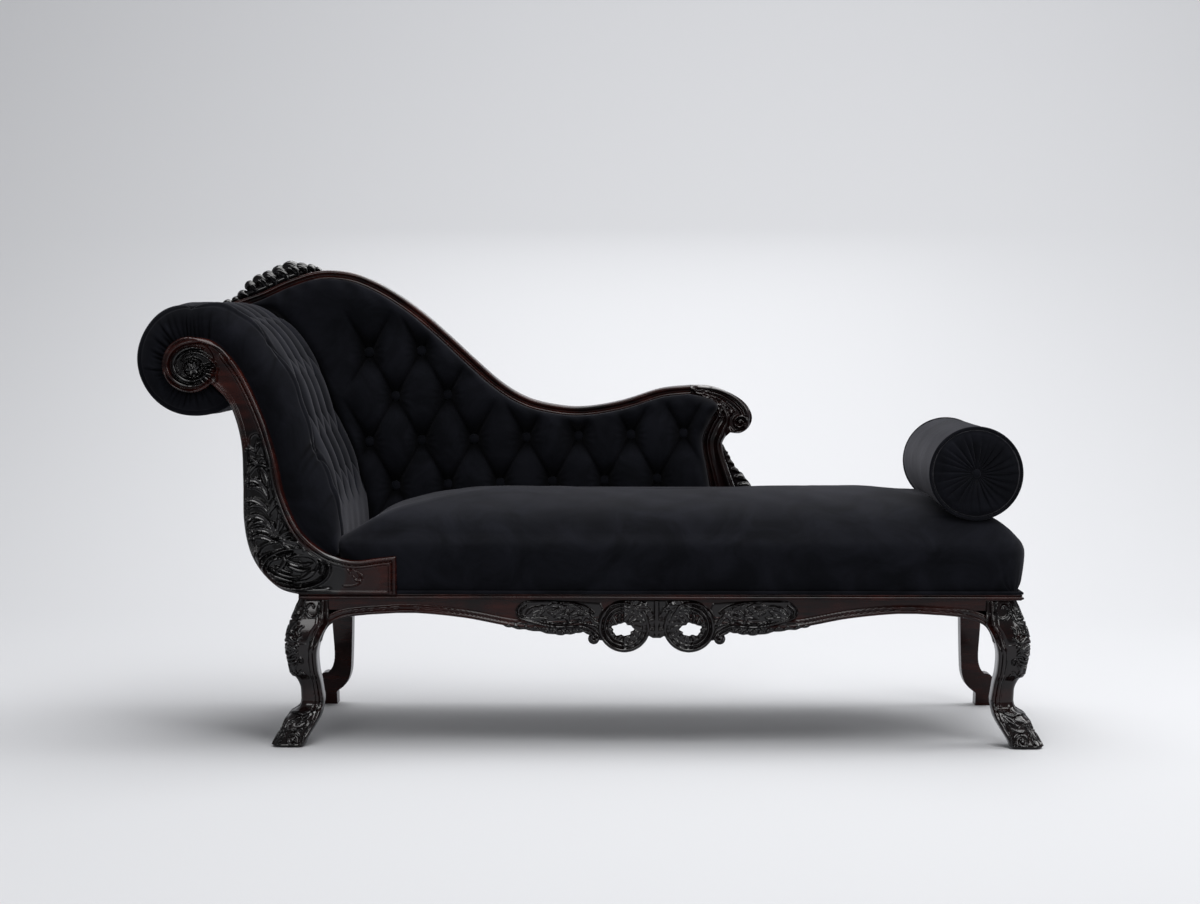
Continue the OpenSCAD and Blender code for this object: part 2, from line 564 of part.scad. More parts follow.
// Head: carved facing with a double bead that runs into the spiral of the volute
spiral_turns = 1.9;
spiral_end_r = 12;
rosette_r = 13;
bead_in = 2;
bead_path = shifted(facing_inner, bead_r + bead_in);
spiral = [for (i = [0:56]) let (a = 90 + 360 * spiral_turns * i / 56, f = i / 56)
    volute_c + ((volute_r - bead_r - bead_in) * (1 - f) + spiral_end_r * f) * [cos(a), sin(a)]];
module bead(path, r) { sweep_xz(path, round_section(r, 8), facing_y); }
module head_facing() {
    color(wood) union() {
        board_xz(facing_outline, facing_y, facing_t);
        bead(concat([for (i = [1:len(bead_path) - 3]) bead_path[i]], spiral), bead_r);
        bead([for (i = [1:2:edge_steps - 6]) shifted(facing_inner, 3.6 * bead_r)[i]], 0.6 * bead_r);
        translate([volute_c[0], facing_y, volute_c[1]]) rotate([90, 0, 0]) rosette();
    }
}
module rosette() {
    rotate_extrude() polygon([[0, -over], [rosette_r, -over], [rosette_r, 0], [0.8 * rosette_r, 0.3 * rosette_r],
        [0.5 * rosette_r, 0.2 * rosette_r], [0.4 * rosette_r, 0.5 * rosette_r], [0, 0.6 * rosette_r]]);
}

// Leaf carving on the lower half of the facing: leaves on both sides of a stem, and an oval
stem_share = [[-0.285, 0.53], [-0.295, 0.45], [-0.275, 0.36], [-0.24, 0.27], [-0.17, 0.19], [-0.06, 0.12]];
oval_share = [0.06, 0.075];
oval_size = [56, 27];
oval_ring = [for (i = [0:$fn - 1]) [oval_size[0] * cos(360 * i / $fn), oval_size[1] * sin(360 * i / $fn)]];
flourish_share = [0.33, 0.062];
leaf_count = 7;
leaf_l = 30;
leaf_outline_share = [[0, 0], [0.25, 0.2], [0.55, 0.26], [0.85, 0.14], [1, -0.02], [0.8, -0.1], [0.5, -0.07],
    [0.2, -0.08]];
module leaf(length) {
    translate([0, over, 0]) rotate([90, 0, 0]) linear_extrude(carving_t / 2 + over)
        polygon(curve(scaled(leaf_outline_share, [length, length]), 14));
}
// The field of the facing that the leaves may cover
carving_field = concat(shifted(facing_inner, 5 * bead_r), arc(volute_c, volute_r / 2, 96, hook_angle, 8),
    shifted([for (i = [1:len(facing_outer) - 2]) facing_outer[i]], bead_in),
    [[facing_end_x - 5 * bead_r, deck_z + bead_in]]);
module facing_carving() {
    stem = curve(placed(scaled(stem_share, head_size), head_origin), 2 * leaf_count);
    o = head_origin + [oval_share[0] * head_reach, oval_share[1] * head_h];
    f = head_origin + [flourish_share[0] * head_reach, flourish_share[1] * head_h];
    color(wood) intersection() {
        union() {
            difference() {
                board_xz(placed(oval_ring, o), facing_y - carving_t / 2, carving_t / 2);
                board_xz(placed(scaled(oval_ring, [0.78, 0.78]), o), facing_y - carving_t, 3 * carving_t / 4);
            }
            for (i = [0:2 * leaf_count - 1]) let (p = stem[i], h = heading(stem, i), a = atan2(h[1], h[0]))
                translate([p[0], facing_y, p[1]]) rotate([0, -(a + (i % 2 == 0 ? 135 : -140)), 0])
                    mirror([0, 0, i % 2]) leaf(leaf_l * (0.8 + 0.4 * sin(180 * i / (2 * leaf_count))));
            for (a = [20, 140, 250]) translate([f[0], facing_y, f[1]]) rotate([0, -a, 0]) leaf(0.7 * leaf_l);
        }
        board_xz(carving_field, facing_y - carving_t, carving_t);
    }
}

// Frames that carry the head pad, behind the facing and at the back
frame_inner = shifted([for (i = [0:edge_steps]) facing_inner[i]], frame_inset);
frame_outline = concat(frame_inner, arc(volute_c, volute_r - frame_inset, 90, hook_angle, 22),
    shifted([for (i = [2:len(facing_outer) - 1]) facing_outer[i]], frame_inset), [[facing_end_x, deck_z]]);
module head_frame_front() {
    color(hidden_wood) intersection() {
        board_xz(frame_outline, front_y, head_frame_t);
        box([head_x - head_reach, front_y - over, rail_top], [frame_stop_x, back_y, deck_z + head_h]);
    }
}
module head_frame_rear() {
    color(wood) intersection() {
        board_xz(facing_outline, back_face_y, back_frame_t);
        box([head_x - head_reach, front_y, rail_top], [frame_stop_x, back_y + over, deck_z + head_h]);
    }
}
module head_roll_beam() {
    color(hidden_wood) translate([volute_c[0], back_face_y, volute_c[1]]) rotate([90, 0, 0])
        cylinder(r = volute_r - frame_inset - gap, h = back_face_y - frame_inner_y);
}
stretcher_share = [-0.25, 0.46];
stretcher_tilt = 14;
module head_stretcher() {
    c = head_origin + [stretcher_share[0] * head_reach, stretcher_share[1] * head_h];
    color(hidden_wood) translate([c[0], frame_inner_y, c[1]]) rotate([0, -stretcher_tilt, 0])
        translate([-stretcher_t / 2, 0, -stretcher_w / 2])
            cube([stretcher_t, back_face_y - frame_inner_y, stretcher_w]);
}
tack_z = rail_top + 2 * strap_t;
tack_w = 1.4 * rail_t;
module head_tack_rail() {
    color(hidden_wood) box([end_rail_x, frame_inner_y, tack_z],
        [end_rail_x + tack_w, back_face_y, tack_z + tack_w]);
}

// Posts and rails of the back frame
crest_under = shifted(crest_line, -crest_t - 2 * gap);
crest_center = shifted(crest_line, -crest_t / 2);
function crest_z(x) = lookup(x, [for (p = crest_under) p]);
post_w = 42;
post_share = [0.155, 0.5];
post_foot_share = 0.492;
module back_post(x, bottom) {
    color(hidden_wood) board_xz([[x - post_w / 2, bottom], [x + post_w / 2, bottom],
        [x + post_w / 2, crest_z(x + post_w / 2)], [x - post_w / 2, crest_z(x - post_w / 2)]],
        back_face_y, back_frame_t);
}
module back_post_head() {
    x = back_origin[0] + post_share[0] * back_l;
    difference() {
        back_post(x, rail_top + post_foot_share * back_size[1]);
        board_xz(facing_outline, back_face_y - over, back_frame_t + 2 * over);
    }
}
module back_post_middle() { back_post(back_origin[0] + post_share[1] * back_l, rail_top); }
module back_tack_rail() {
    x = back_origin[0] + post_share[1] * back_l;
    color(hidden_wood) difference() {
        box([head_x, back_face_y, rail_top + post_w], [tail_inner[8][0], back_y, rail_top + 2 * post_w]);
        box([x - post_w / 2, back_face_y - over, rail_top], [x + post_w / 2, back_y + over, deck_z + back_h]);
        board_xz(facing_outline, back_face_y - over, back_frame_t + 2 * over);
        board_xz(tail_outline, back_face_y - over, back_frame_t + 2 * over);
    }
}

// Crest rail: a moulded section drawn along the crest line
crest_section_share = [[0.5, 0.5], [0.46, 0.72], [0.3, 0.88], [0, 1], [-0.42, 0.98], [-0.5, 0.5],
    [-0.42, 0.02], [0, 0], [0.3, 0.12], [0.46, 0.28]];
module crest_rail() {
    color(wood) sweep_xz([for (i = [0:2:64]) crest_center[i]],
        [for (p = crest_section_share) [p[0] * crest_t, p[1] * crest_d]], back_face_y);
}
crest_leaf_share = 0.19;
crest_rise_share = [[0, 0.2], [0.15, 0.42], [0.35, 0.62], [0.55, 0.97], [0.7, 1], [0.85, 0.75], [1, 0.12]];
leaf_lobes = 7;
module crest_carving() {
    n = 42;
    path = [for (i = [0:n]) at(crest_points, crest_leaf_share * i / n)];
    color(wood) loft([for (i = [n:-1:0]) let (f = i / n, lobe = abs(sin(180 * leaf_lobes * f)),
        r = crest_leaf_h * lookup(f, crest_rise_share) * (0.76 + 0.24 * lobe) / 2,
        h = heading(path, i), s = left_of(h))
        [for (k = [0:9]) let (a = 36 * k, q = path[i] + s * (r + gap + r * cos(a)))
            [q[0], back_face_y + crest_d / 2 + crest_d / 2 * (0.7 + 0.25 * lobe) * sin(a), q[1]]]]);
}

// Tail scroll and the leaf on its outer side
tail_outline = concat(tail_top, tail_stem, [[tail_stem[len(tail_stem) - 1][0], rail_top],
    [tail_inner[0][0], rail_top]], tail_inner);
module tail_scroll() {
    r = tail_volute_r;
    color(wood) union() {
        board_xz(tail_outline, back_face_y, crest_d);
        translate([tail_volute_c[0], back_face_y, tail_volute_c[1]]) rotate([90, 0, 0]) {
            cylinder(r = r, h = bead_r / 2);
            cylinder(r = r / 2, h = bead_r);
        }
        sweep_xz(shifted(concat([for (i = [0:15]) tail_top[i]]), -bead_r - 1), round_section(bead_r / 1.4, 6),
            back_face_y);
    }
}
module tail_leaf() {
    inner = [for (i = [3:len(tail_stem) - 1]) tail_stem[i] + [gap, 0]];
    color(wood) board_xz(concat([inner[0]], [for (i = [2:len(leaf_outer) - 1]) leaf_outer[i]],
        [[tail_end_x, rail_top], [inner[len(inner) - 1][0], rail_top]], reversed(inner)),
        back_face_y + crest_d / 6, 2 * crest_d / 3);
}

// Webbing: crosswise straps on the rails, and lengthwise straps on them
module seat_webbing() {
    first = frame_stop_x + strap_w / 2;
    last = foot_x - front_block_w - strap_w;
    low = end_rail_y[0] + strap_w / 2;
    high = end_rail_y[1] - 2 * strap_w;
    color(jute) {
        for (k = [0:cross_straps - 1]) let (x = first + (last - first) * k / (cross_straps - 1))
            box([x, apron_y + gap, rail_top], [x + strap_w, back_face_y - gap, rail_top + strap_t]);
        for (k = [0:long_straps - 1]) let (y = low + (high - low) * k / (long_straps - 1))
            box([end_rail_x, y, rail_top + strap_t],
                [foot_x - rail_setback, y + strap_w, rail_top + 2 * strap_t]);
    }
}

// Seat: a loft of rings from the moulding up over the crown. Each row has its reach past the frame in
// shares of the bulge, its height, and its corner radius in shares of the largest
seat_rows_share = [[0.28, 0, 0.4], [0.28, 0.036, 0.4], [0.7, 0.14, 1], [1, 0.36, 1.4],
    [0.86, 0.48, 1.4], [0.25, 0.57, 1.1], [-0.6, 0.66, 0.73], [-1.7, 0.745, 0.34],
    [-3.4, 0.825, 0.3], [-5.8, 0.895, 0.3], [-8.6, 0.95, 0.3],
    [-11.2, 0.985, 0.3], [-13, 1, 0.3]];
seat_corner_r = 46;
seat_half_d = frame_d / 2;
side_stops_share = [0.06, 0.12, 0.18, 0.235, 0.27, 0.285, 0.3, 0.315, 0.34, 0.365, 0.385, 0.4, 0.413, 0.427,
    0.46, 0.52, 0.59, 0.67, 0.76, 0.85, 0.93];
end_bow = 0.8;
head_clearance = 3.6;
seat_x0 = frame_stop_x + seat_bulge + end_bow + head_clearance;
rear_step = 44;
// The rear edge of the seat steps back where the back pad ends and again past the tail leaf
function seat_rear(x) = pad_face_y - seat_bulge - 2 * gap
    + back_pad_t * ease((x - tail_inner[0][0] - 2 * gap - seat_bulge / 2) / rear_step)
    + (back_frame_t + seat_bulge + 2 * gap) * ease((x - tail_end_x - seat_bulge / 2) / rear_step);
// Half of a ring at inset s, from the middle of the foot end round to the middle of the head end
function seat_half(s, r) = let (x0 = seat_x0 + s, x1 = foot_x - s, b = seat_half_d - s,
        cx0 = x0 + r, cx1 = x1 - r, cy = b - r)
    concat([[x1 + end_bow, 0], [x1 + 0.75 * end_bow, cy / 2]], arc([cx1, cy], r, 0, 90, 4),
        [for (f = side_stops_share) [cx1 + (cx0 - cx1) * f, b]],
        arc([cx0, cy], r, 90, 180, 4), [[x0 - 0.75 * end_bow, cy / 2], [x0 - end_bow, 0]]);
function seat_ring(s, r) = let (h = seat_half(s, r), m = len(h) - 1)
    concat(h, [for (i = [m - 1:-1:1]) [h[i][0], -h[i][1]]]);
function seat_point(p, z) = let (rear = seat_rear(p[0]), mid = (rear + front_y) / 2, k = (rear - front_y) / frame_d)
    [p[0], mid + (abs(p[1]) > seat_half_d ? sign(p[1]) * (abs(p[1]) - seat_half_d + k * seat_half_d) : k * p[1]), z];
bolster_share = 0.83;
bolster_sink = 19.5;
bolster_in = 75;
bolster_c = [foot_x - bolster_in, deck_z + bolster_share * seat_h + bolster_r - bolster_sink];
bolster_y = (front_y + back_y - bolster_l) / 2;
foam_top = deck_z + 0.62 * seat_h;
foam_low = [seat_x0 + foam_side / 2, front_y + foam_side, rail_top + 2 * strap_t];
foam_high = [foot_x - foam_side, pad_face_y - foam_side, foam_top];
module seat_cover() {
    color(velvet) difference() {
        loft([for (row = seat_rows_share) [for (p = seat_ring(-row[0] * seat_bulge, row[2] * seat_corner_r))
            seat_point(p, deck_z + row[1] * seat_h)]]);
        box([head_x - over, front_y - gap, deck_z - over], [foot_x + gap, back_y + gap, rail_top + 2 * strap_t + gap]);
        socket(foam_low, foam_high);
        box([head_x, facing_y - over, deck_z - over],
            [facing_end_x + gap, front_y + gap, facing_inner[0][1] + bead_r]);
        bolster_turned() bolster_room();
    }
}
module seat_foam() { color("#c9b98c") box(foam_low, foam_high); }
cloth_t = 1.2;
module dust_cover() {
    color("#1d1c1e") difference() {
        box([end_rail_x, apron_y + apron_t, rail_bottom - cloth_t],
            [foot_x - rail_setback, back_y - rail_setback, rail_bottom]);
        leg_sockets();
        box([head_x, front_y, rail_bottom - 2 * cloth_t], [head_x + knee_w + toe_reach, front_y + knee_w + gap, rail_top]);
        box([foot_x - knee_w - toe_reach, front_y, rail_bottom - 2 * cloth_t], [foot_x, front_y + knee_w + gap, rail_top]);
    }
}

// Diamond tufting: 0 on the folds between buttons, 1 in the middle of each diamond
function diamond(u, v) = pow(abs(sin(180 * (u + v / 2))) * abs(sin(180 * (u - v / 2))), 0.45);
// Edge of a padded panel: 0 at the rim, 1 inside
function rim(t, w) = let (s = min(1, max(0, min(t, 1 - t)) / w)) sqrt(max(0, 1 - (1 - s) * (1 - s)));

// Head pad: its face follows the crown, its underside the frames
head_cols = 42;
head_rows = 24;
head_under_share = concat([for (i = [len(facing_inner_share) - 1:-1:3]) facing_inner_share[i]], [[0.25, 0.138]]);
roll_steps = 16;
crown_steps = head_cols - roll_steps;
roll_from = -50;
roll_to = -262;
head_face = concat(arc(roll_c, roll_r, roll_from, roll_to, roll_steps - 1),
    curve(placed(scaled(crown_share, head_size), head_origin), crown_steps));
head_under = concat(arc(volute_c, volute_r - frame_inset + 3 * gap, roll_from, roll_to, roll_steps - 1),
    shifted(curve(placed(scaled(head_under_share, head_size), head_origin), crown_steps), gap - frame_inset));
tuft_columns = 5;
tuft_pitch = 4.2;
function head_lift(i, t) = let (on = ease((i - roll_steps + 3) / 3) * ease((head_cols - 4 - i) / 3))
    -head_tuft * on * (1 - diamond(tuft_columns * t, (i - roll_steps) / tuft_pitch)) * rim(t, 0.08)
    - head_tuft / 2 * (1 - rim(t, 0.05));
function toward(a, b, d) = a + d * unit(b - a);
module head_pad() {
    color(velvet) difference() {
        pad([for (i = [0:head_cols]) [for (j = [0:head_rows]) let (t = j / head_rows,
            p = toward(head_face[i], head_under[i], -head_lift(i, t)))
            [p[0], pad_front_y + (pad_back_y - pad_front_y) * t, p[1]]]],
        [for (i = [0:head_cols]) [for (j = [0:head_rows])
            [head_under[i][0], pad_front_y + (pad_back_y - pad_front_y) * j / head_rows, head_under[i][1]]]],
            head_rows);
        at_head_buttons() button_socket();
    }
}

// Place and outward direction on the crown, at a whole or part step along it
function crown_place(i) = let (k = floor(i)) head_face[k] + (i - k) * (head_face[k + 1] - head_face[k]);
function crown_out(i) = unit(crown_place(i) - crown_under(i));
function crown_under(i) = let (k = floor(i)) head_under[k] + (i - k) * (head_under[k + 1] - head_under[k]);
// Pleated borders that close the ends of the head pad
border_steps = 66;
border_rows_share = [0, 0.45, 0.85, 1];
module pad_border(y, side) {
    cols = border_steps;
    steps = side > 0 ? [0:cols] : [cols:-1:0];
    pad([for (i = steps) let (s = i * head_cols / cols, a = crown_under(min(s, head_cols - 0.001)),
            b = crown_place(min(s, head_cols - 0.001)))
            [for (j = [0:3]) let (t = border_rows_share[j], q = a + (b - a) * t * (1 - 0.06 * j / 3),
                fold = border_pleat * (i % 2) * sin(180 * min(1, t + 0.1)) + (j == 3 ? border_pleat : 0))
                [q[0], y + side * fold, q[1]]]],
        [for (i = steps) let (s = i * head_cols / cols, a = crown_under(min(s, head_cols - 0.001)),
            b = crown_place(min(s, head_cols - 0.001)))
            [for (j = [0:3]) let (t = border_rows_share[j], q = a + (b - a) * t * (1 - 0.06 * j / 3))
                [q[0], y + side * (border_t - 2 * gap), q[1]]]], 3);
}
module head_border_front() { color(velvet) pad_border(front_y + gap, 1); }
module head_border_rear() { color(velvet) pad_border(back_face_y - gap, -1); }

// Velvet buttons: a low dome on a short shank, along +Z from the seat of its socket
button_h = 7;
module button() {
    rotate_extrude() polygon([[0, 0], [0.9 * button_r, 0], [button_r, 0.35 * button_h],
        [0.8 * button_r, 0.75 * button_h], [0.45 * button_r, 0.95 * button_h], [0, button_h]]);
}
module button_socket() { translate([0, 0, -gap]) cylinder(r = button_r + gap, h = 6 * button_h); }
// The buttons of the head pad stand on every node of its tufting
module at_head_buttons() {
    for (row = [1:4], k = [0:tuft_columns - 1 - (row + 1) % 2]) {
        i = roll_steps + tuft_pitch * row;
        p = crown_place(i);
        out = crown_out(i);
        t = (k + (row % 2 == 0 ? 1 : 0.5)) / tuft_columns;
        translate([p[0], pad_front_y + (pad_back_y - pad_front_y) * t, p[1]])
            rotate([0, atan2(out[0], out[1]), 0]) translate([0, 0, -head_tuft - button_h / 2]) children();
    }
}
module head_buttons() { color(velvet) at_head_buttons() button(); }

// Plain velvet on the outer side of the head, tacked to the edges of the frames
lining_t = 3;
module head_outside_panel() {
    outer = [for (i = [2:len(facing_outer) - 1]) facing_outer[i]];
    color(velvet) intersection() {
        board_xz(concat(shifted(outer, frame_inset - lining_t), reversed(shifted(outer, frame_inset - gap / 2))),
            front_y + gap, back_face_y - front_y - 2 * gap);
        box([head_x - head_reach, front_y, deck_z - rail_h], [head_x - gap, back_y, deck_z + head_h]);
    }
}

// Back pad: a patch between the head, the crest, the tail scroll and the seat
pad_foot_z = rail_top + foam_side / 4;
pad_left = shifted(curve(concat([[head_face[head_cols][0], pad_foot_z]],
    [for (i = [len(crown_share) - 1:-1:1]) head_origin + [crown_share[i][0] * head_reach, crown_share[i][1] * head_h]]),
    16), -3 * gap);
pad_top = concat([for (i = [4:4:64]) crest_under[i] - [0, gap]],
    [tail_inner[24] - [gap, 2 * gap], tail_inner[22] - [2 * gap, gap]]);
pad_right = concat([[tail_inner[0][0] - 2 * gap, pad_foot_z]],
    [for (i = [4:4:20]) tail_inner[i] - [2 * gap, 0]], [pad_top[len(pad_top) - 1]]);
back_cols = 45;
back_rows = 20;
back_rows_step = 5;
function pad_edge_left(v) = at(concat(pad_left, [pad_top[0]]), v);
function patch(u, v) = let (b0 = pad_left[0], b1 = pad_right[0], t0 = pad_top[0], t1 = pad_top[len(pad_top) - 1])
    (1 - v) * (b0 + (b1 - b0) * u) + v * at(pad_top, u) + (1 - u) * pad_edge_left(v) + u * at(pad_right, v)
    - (1 - u) * (1 - v) * b0 - u * (1 - v) * b1 - (1 - u) * v * t0 - u * v * t1;
// Buttons of the back: rows from the seat up, each with its count, half a pitch apart
back_pitch = [111, 95];
back_button_share = [0.322, 0.237];
back_button_counts = [6, 7, 2, 2];
back_button_origin = placed(scaled([back_button_share], back_size), back_origin)[0];
// The rows rise a little towards the foot end
row_rise_share = 0.027;
back_button_places = [for (row = [0:3], k = [0:back_button_counts[row] - 1])
    let (across = (k - (row % 2 == 0 ? 0 : 0.5)) * back_pitch[0])
    back_button_origin + [across, row * back_pitch[1] + row_rise_share * across]];
function near_button(p) = min([for (b = back_button_places) norm(p - b)]);
function back_depth(p, u, v) = let (d = p - back_button_origin,
        q = [d[0] / back_pitch[0], (d[1] - row_rise_share * d[0]) / back_pitch[1]], on = ease(1.7 - near_button(p) / (0.62 * back_pitch[0])))
    back_tuft * on * (1 - diamond(q[0], q[1])) * min(1, rim(u, 0.04) * rim(v, 0.06))
    + back_tuft * 0.8 * (1 - rim(u, 0.03) * rim(v, 0.08));
module back_pad() {
    grid = [for (i = [0:back_cols]) [for (j = [0:back_rows]) patch(i / back_cols, j / back_rows)]];
    color(velvet) difference() {
        pad([for (i = [0:back_cols]) [for (j = [0:back_rows]) let (p = grid[i][j])
                [p[0], pad_face_y + back_depth(p, i / back_cols, j / back_rows), p[1]]]],
            [for (c = grid) [for (p = c) [p[0], back_face_y - gap, p[1]]]], back_rows_step);
        at_back_buttons() button_socket();
    }
}
module at_back_buttons() {
    for (b = back_button_places) translate([b[0], pad_face_y + back_tuft + button_h / 2, b[1]])
        rotate([90, 0, 0]) children();
}
module back_buttons() { color(velvet) at_back_buttons() button(); }
module back_outside_panel() {
    edge = frame_inset;
    color(velvet) difference() {
        board_xz(concat([[head_x + edge, deck_z + gap], [tail_inner[0][0] - edge, deck_z + gap]],
            [for (i = [2:2:18]) tail_inner[i] - [edge, 0]], [for (i = [64:-2:2]) crest_under[i] - [0, edge]]),
            back_y + gap, lining_t);
        board_xz(facing_outline, back_y - over, lining_t + 2 * over + gap);
    }
}

// Bolster: a velvet roll with pleated ends, piping and a button in each end
end_crown = 9;
end_rim_y = bolster_l / 2 - end_crown;
module bolster_turned() { translate([bolster_c[0], mid_y, bolster_c[1]]) rotate([90, 0, 0]) children(); }
body_r = bolster_r - piping_r / 3;
body_end = end_rim_y - piping_r;
// The hollow that the bolster presses in the seat, wider where the piping lies
module bolster_room() {
    cylinder(r = body_r + gap, h = bolster_l, center = true);
    for (side = [0, 1]) mirror([0, 0, side]) translate([0, 0, body_end - 2 * piping_r])
        cylinder(r = bolster_r + gap, h = frame_d);
}
module bolster() {
    r = body_r;
    body = body_end;
    color(velvet) bolster_turned() rotate_extrude()
        polygon([[0, -body], [0.93 * r, -body], [0.99 * r, -0.97 * body], [r, -0.8 * body], [r, 0.8 * body],
                 [0.99 * r, 0.97 * body], [0.93 * r, body], [0, body]]);
}
end_rows_share = [[0.93, 0], [0.91, 0.35], [0.75, 0.85], [0.5, 0.8], [0.22, 0.42], [0.1, 0.3]];
module bolster_end() {
    n = 2 * pleats;
    loft([for (m = [0:len(end_rows_share)]) let (row = end_rows_share[max(0, m - 1)],
        z = m == 0 ? body_end : end_rim_y + end_crown * row[1])
        [for (k = [0:n - 1]) let (a = 360 * k / n,
            fold = m < 2 || m == len(end_rows_share) ? 0 : -0.3 * end_crown * (k % 2))
            [bolster_r * row[0] * cos(a), bolster_r * row[0] * sin(a), z + fold]]]);
}
module bolster_ends() {
    color(velvet) bolster_turned() for (side = [0, 1]) mirror([0, 0, side]) bolster_end();
}
module bolster_piping() {
    color(velvet) bolster_turned() for (side = [-1, 1]) translate([0, 0, side * (body_end + gap)])
        rotate_extrude() translate([bolster_r - piping_r, 0]) circle(r = piping_r - gap, $fn = 24);
}
module bolster_buttons() {
    color(velvet) bolster_turned() for (side = [0, 1]) mirror([0, 0, side])
        translate([0, 0, end_rim_y + 0.3 * end_crown + gap]) scale(0.8) button();
}

front_apron();
apron_cartouche();
seat_moulding();
back_seat_rail();
head_seat_rail();
foot_seat_rail();
seat_bearers();
corner_blocks();
corner_screws();
front_leg_head();
front_leg_foot();
rear_leg_head();
rear_leg_foot();
head_facing();
facing_carving();
head_frame_front();
head_frame_rear();
head_roll_beam();
head_stretcher();
head_tack_rail();
back_post_head();
back_post_middle();
back_tack_rail();
crest_rail();
crest_carving();
tail_scroll();
tail_leaf();
seat_webbing();
seat_foam();
seat_cover();
seat_welt();
dust_cover();
head_pad();
head_border_front();
head_border_rear();
head_buttons();
head_outside_panel();
back_pad();
back_buttons();
back_outside_panel();
bolster();
bolster_ends();
bolster_piping();
bolster_buttons();
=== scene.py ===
"""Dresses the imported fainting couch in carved, ebonised mahogany and buttoned black velvet."""
import math

import bmesh
import bpy
import numpy as np
from bpy.props import FloatProperty, IntProperty, FloatVectorProperty, PointerProperty
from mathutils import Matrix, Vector


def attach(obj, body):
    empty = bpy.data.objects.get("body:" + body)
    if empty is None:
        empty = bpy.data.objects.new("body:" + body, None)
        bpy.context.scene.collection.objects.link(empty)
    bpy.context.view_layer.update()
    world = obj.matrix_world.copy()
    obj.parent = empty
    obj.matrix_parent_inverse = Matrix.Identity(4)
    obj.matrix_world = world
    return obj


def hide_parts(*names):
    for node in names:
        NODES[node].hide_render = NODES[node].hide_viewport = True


bl_info = {
    "name": "Fainting Couch",
    "version": (1, 0, 0),
    "blender": (4, 5, 0),
    "location": "View3D > Sidebar > Couch",
    "description": "Carved wood, buttoned velvet and a studio for a fainting couch",
    "category": "Add Mesh",
}

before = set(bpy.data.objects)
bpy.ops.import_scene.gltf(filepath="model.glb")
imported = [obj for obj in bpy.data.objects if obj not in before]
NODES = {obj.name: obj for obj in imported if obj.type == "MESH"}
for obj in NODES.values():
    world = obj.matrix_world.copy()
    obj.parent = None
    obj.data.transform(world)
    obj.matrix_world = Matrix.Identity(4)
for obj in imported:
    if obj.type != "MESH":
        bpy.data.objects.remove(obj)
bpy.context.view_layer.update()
MM = 0.001


# numbers and curves
def smooth(points, share):
    """Points at the given shares along a smooth curve through a few points."""
    p = np.asarray(points, float)
    last = len(p) - 1
    t = np.clip(np.asarray(share, float), 0, 1) * last
    i = np.minimum(t.astype(int), last - 1)
    f = (t - i)[..., None]
    a, b, c, d = p[np.maximum(i - 1, 0)], p[i], p[i + 1], p[np.minimum(i + 2, last)]
    return 0.5 * (2 * b + (c - a) * f + (2 * a - 5 * b + 4 * c - d) * f ** 2
                  + (3 * b - a - 3 * c + d) * f ** 3)


def curve(points, count):
    """A smooth curve through a few points, drawn with count points at even shares."""
    return smooth(points, np.linspace(0, 1, count))


def ease(t):
    t = np.clip(t, 0, 1)
    return t * t * (3 - 2 * t)


def even(line, count):
    """The same line with points at even distances along it."""
    steps = np.hypot(*np.diff(line, axis=0).T)
    run = np.concatenate([[0], np.cumsum(steps)])
    at = np.linspace(0, run[-1], count)
    return np.stack([np.interp(at, run, line[:, k]) for k in range(line.shape[1])], 1)


def across(line):
    """Unit vectors to the left of a line at each of its points."""
    d = np.gradient(line, axis=0)
    d /= np.hypot(d[:, 0], d[:, 1])[:, None]
    return np.stack([-d[:, 1], d[:, 0]], 1)


def ripple(x, y, z, seed, size):
    """A slow, smooth, seeded unevenness from -1 to 1, for cloth that was pulled over stuffing by hand."""
    rng = np.random.default_rng(seed)
    total = np.zeros_like(x)
    for _ in range(7):
        d = rng.normal(size=3)
        d *= rng.uniform(0.6, 1.5) * 2 * math.pi / (size * np.linalg.norm(d))
        total += np.sin(d[0] * x + d[1] * y + d[2] * z + rng.uniform(0, 6.28))
    return total / 7 ** 0.5 / 1.5


# meshes
def clear_selection():
    if bpy.context.object and bpy.context.object.mode != "OBJECT":
        bpy.ops.object.mode_set(mode="OBJECT")
    bpy.ops.object.select_all(action="DESELECT")


def pick(piece):
    clear_selection()
    piece.select_set(True)
    bpy.context.view_layer.objects.active = piece


def sheet(name, columns, rows):
    """A flat grid whose points are then moved into shape. Returns it with its shares across and along."""
    clear_selection()
    bpy.ops.mesh.primitive_grid_add(x_subdivisions=columns, y_subdivisions=rows, size=1)
    piece = bpy.context.object
    piece.name = piece.data.name = name
    co = np.empty(len(piece.data.vertices) * 3)
    piece.data.vertices.foreach_get("co", co)
    co = co.reshape(-1, 3)
    return piece, co[:, 0] + 0.5, co[:, 1] + 0.5


def shape(piece, x, y, z):
    """Moves every point to its place, given in millimetres."""
    co = np.stack([x, y, z], 1).ravel() * MM
    piece.data.vertices.foreach_set("co", co)
    piece.data.update()


def close_up(piece, merge=0.02, angle=None):
    """Merges seams and poles, turns the faces outwards and shades the piece smooth."""
    pick(piece)
    bpy.ops.object.mode_set(mode="EDIT")
    bpy.ops.mesh.select_all(action="SELECT")
    bpy.ops.mesh.remove_doubles(threshold=merge * MM)
    bpy.ops.mesh.delete_loose()
    bpy.ops.mesh.select_all(action="SELECT")
    bpy.ops.mesh.normals_make_consistent(inside=False)
    bpy.ops.object.mode_set(mode="OBJECT")
    if angle is None:
        bpy.ops.object.shade_smooth()
    else:
        bpy.ops.object.shade_smooth_by_angle(angle=math.radians(angle))
    return piece


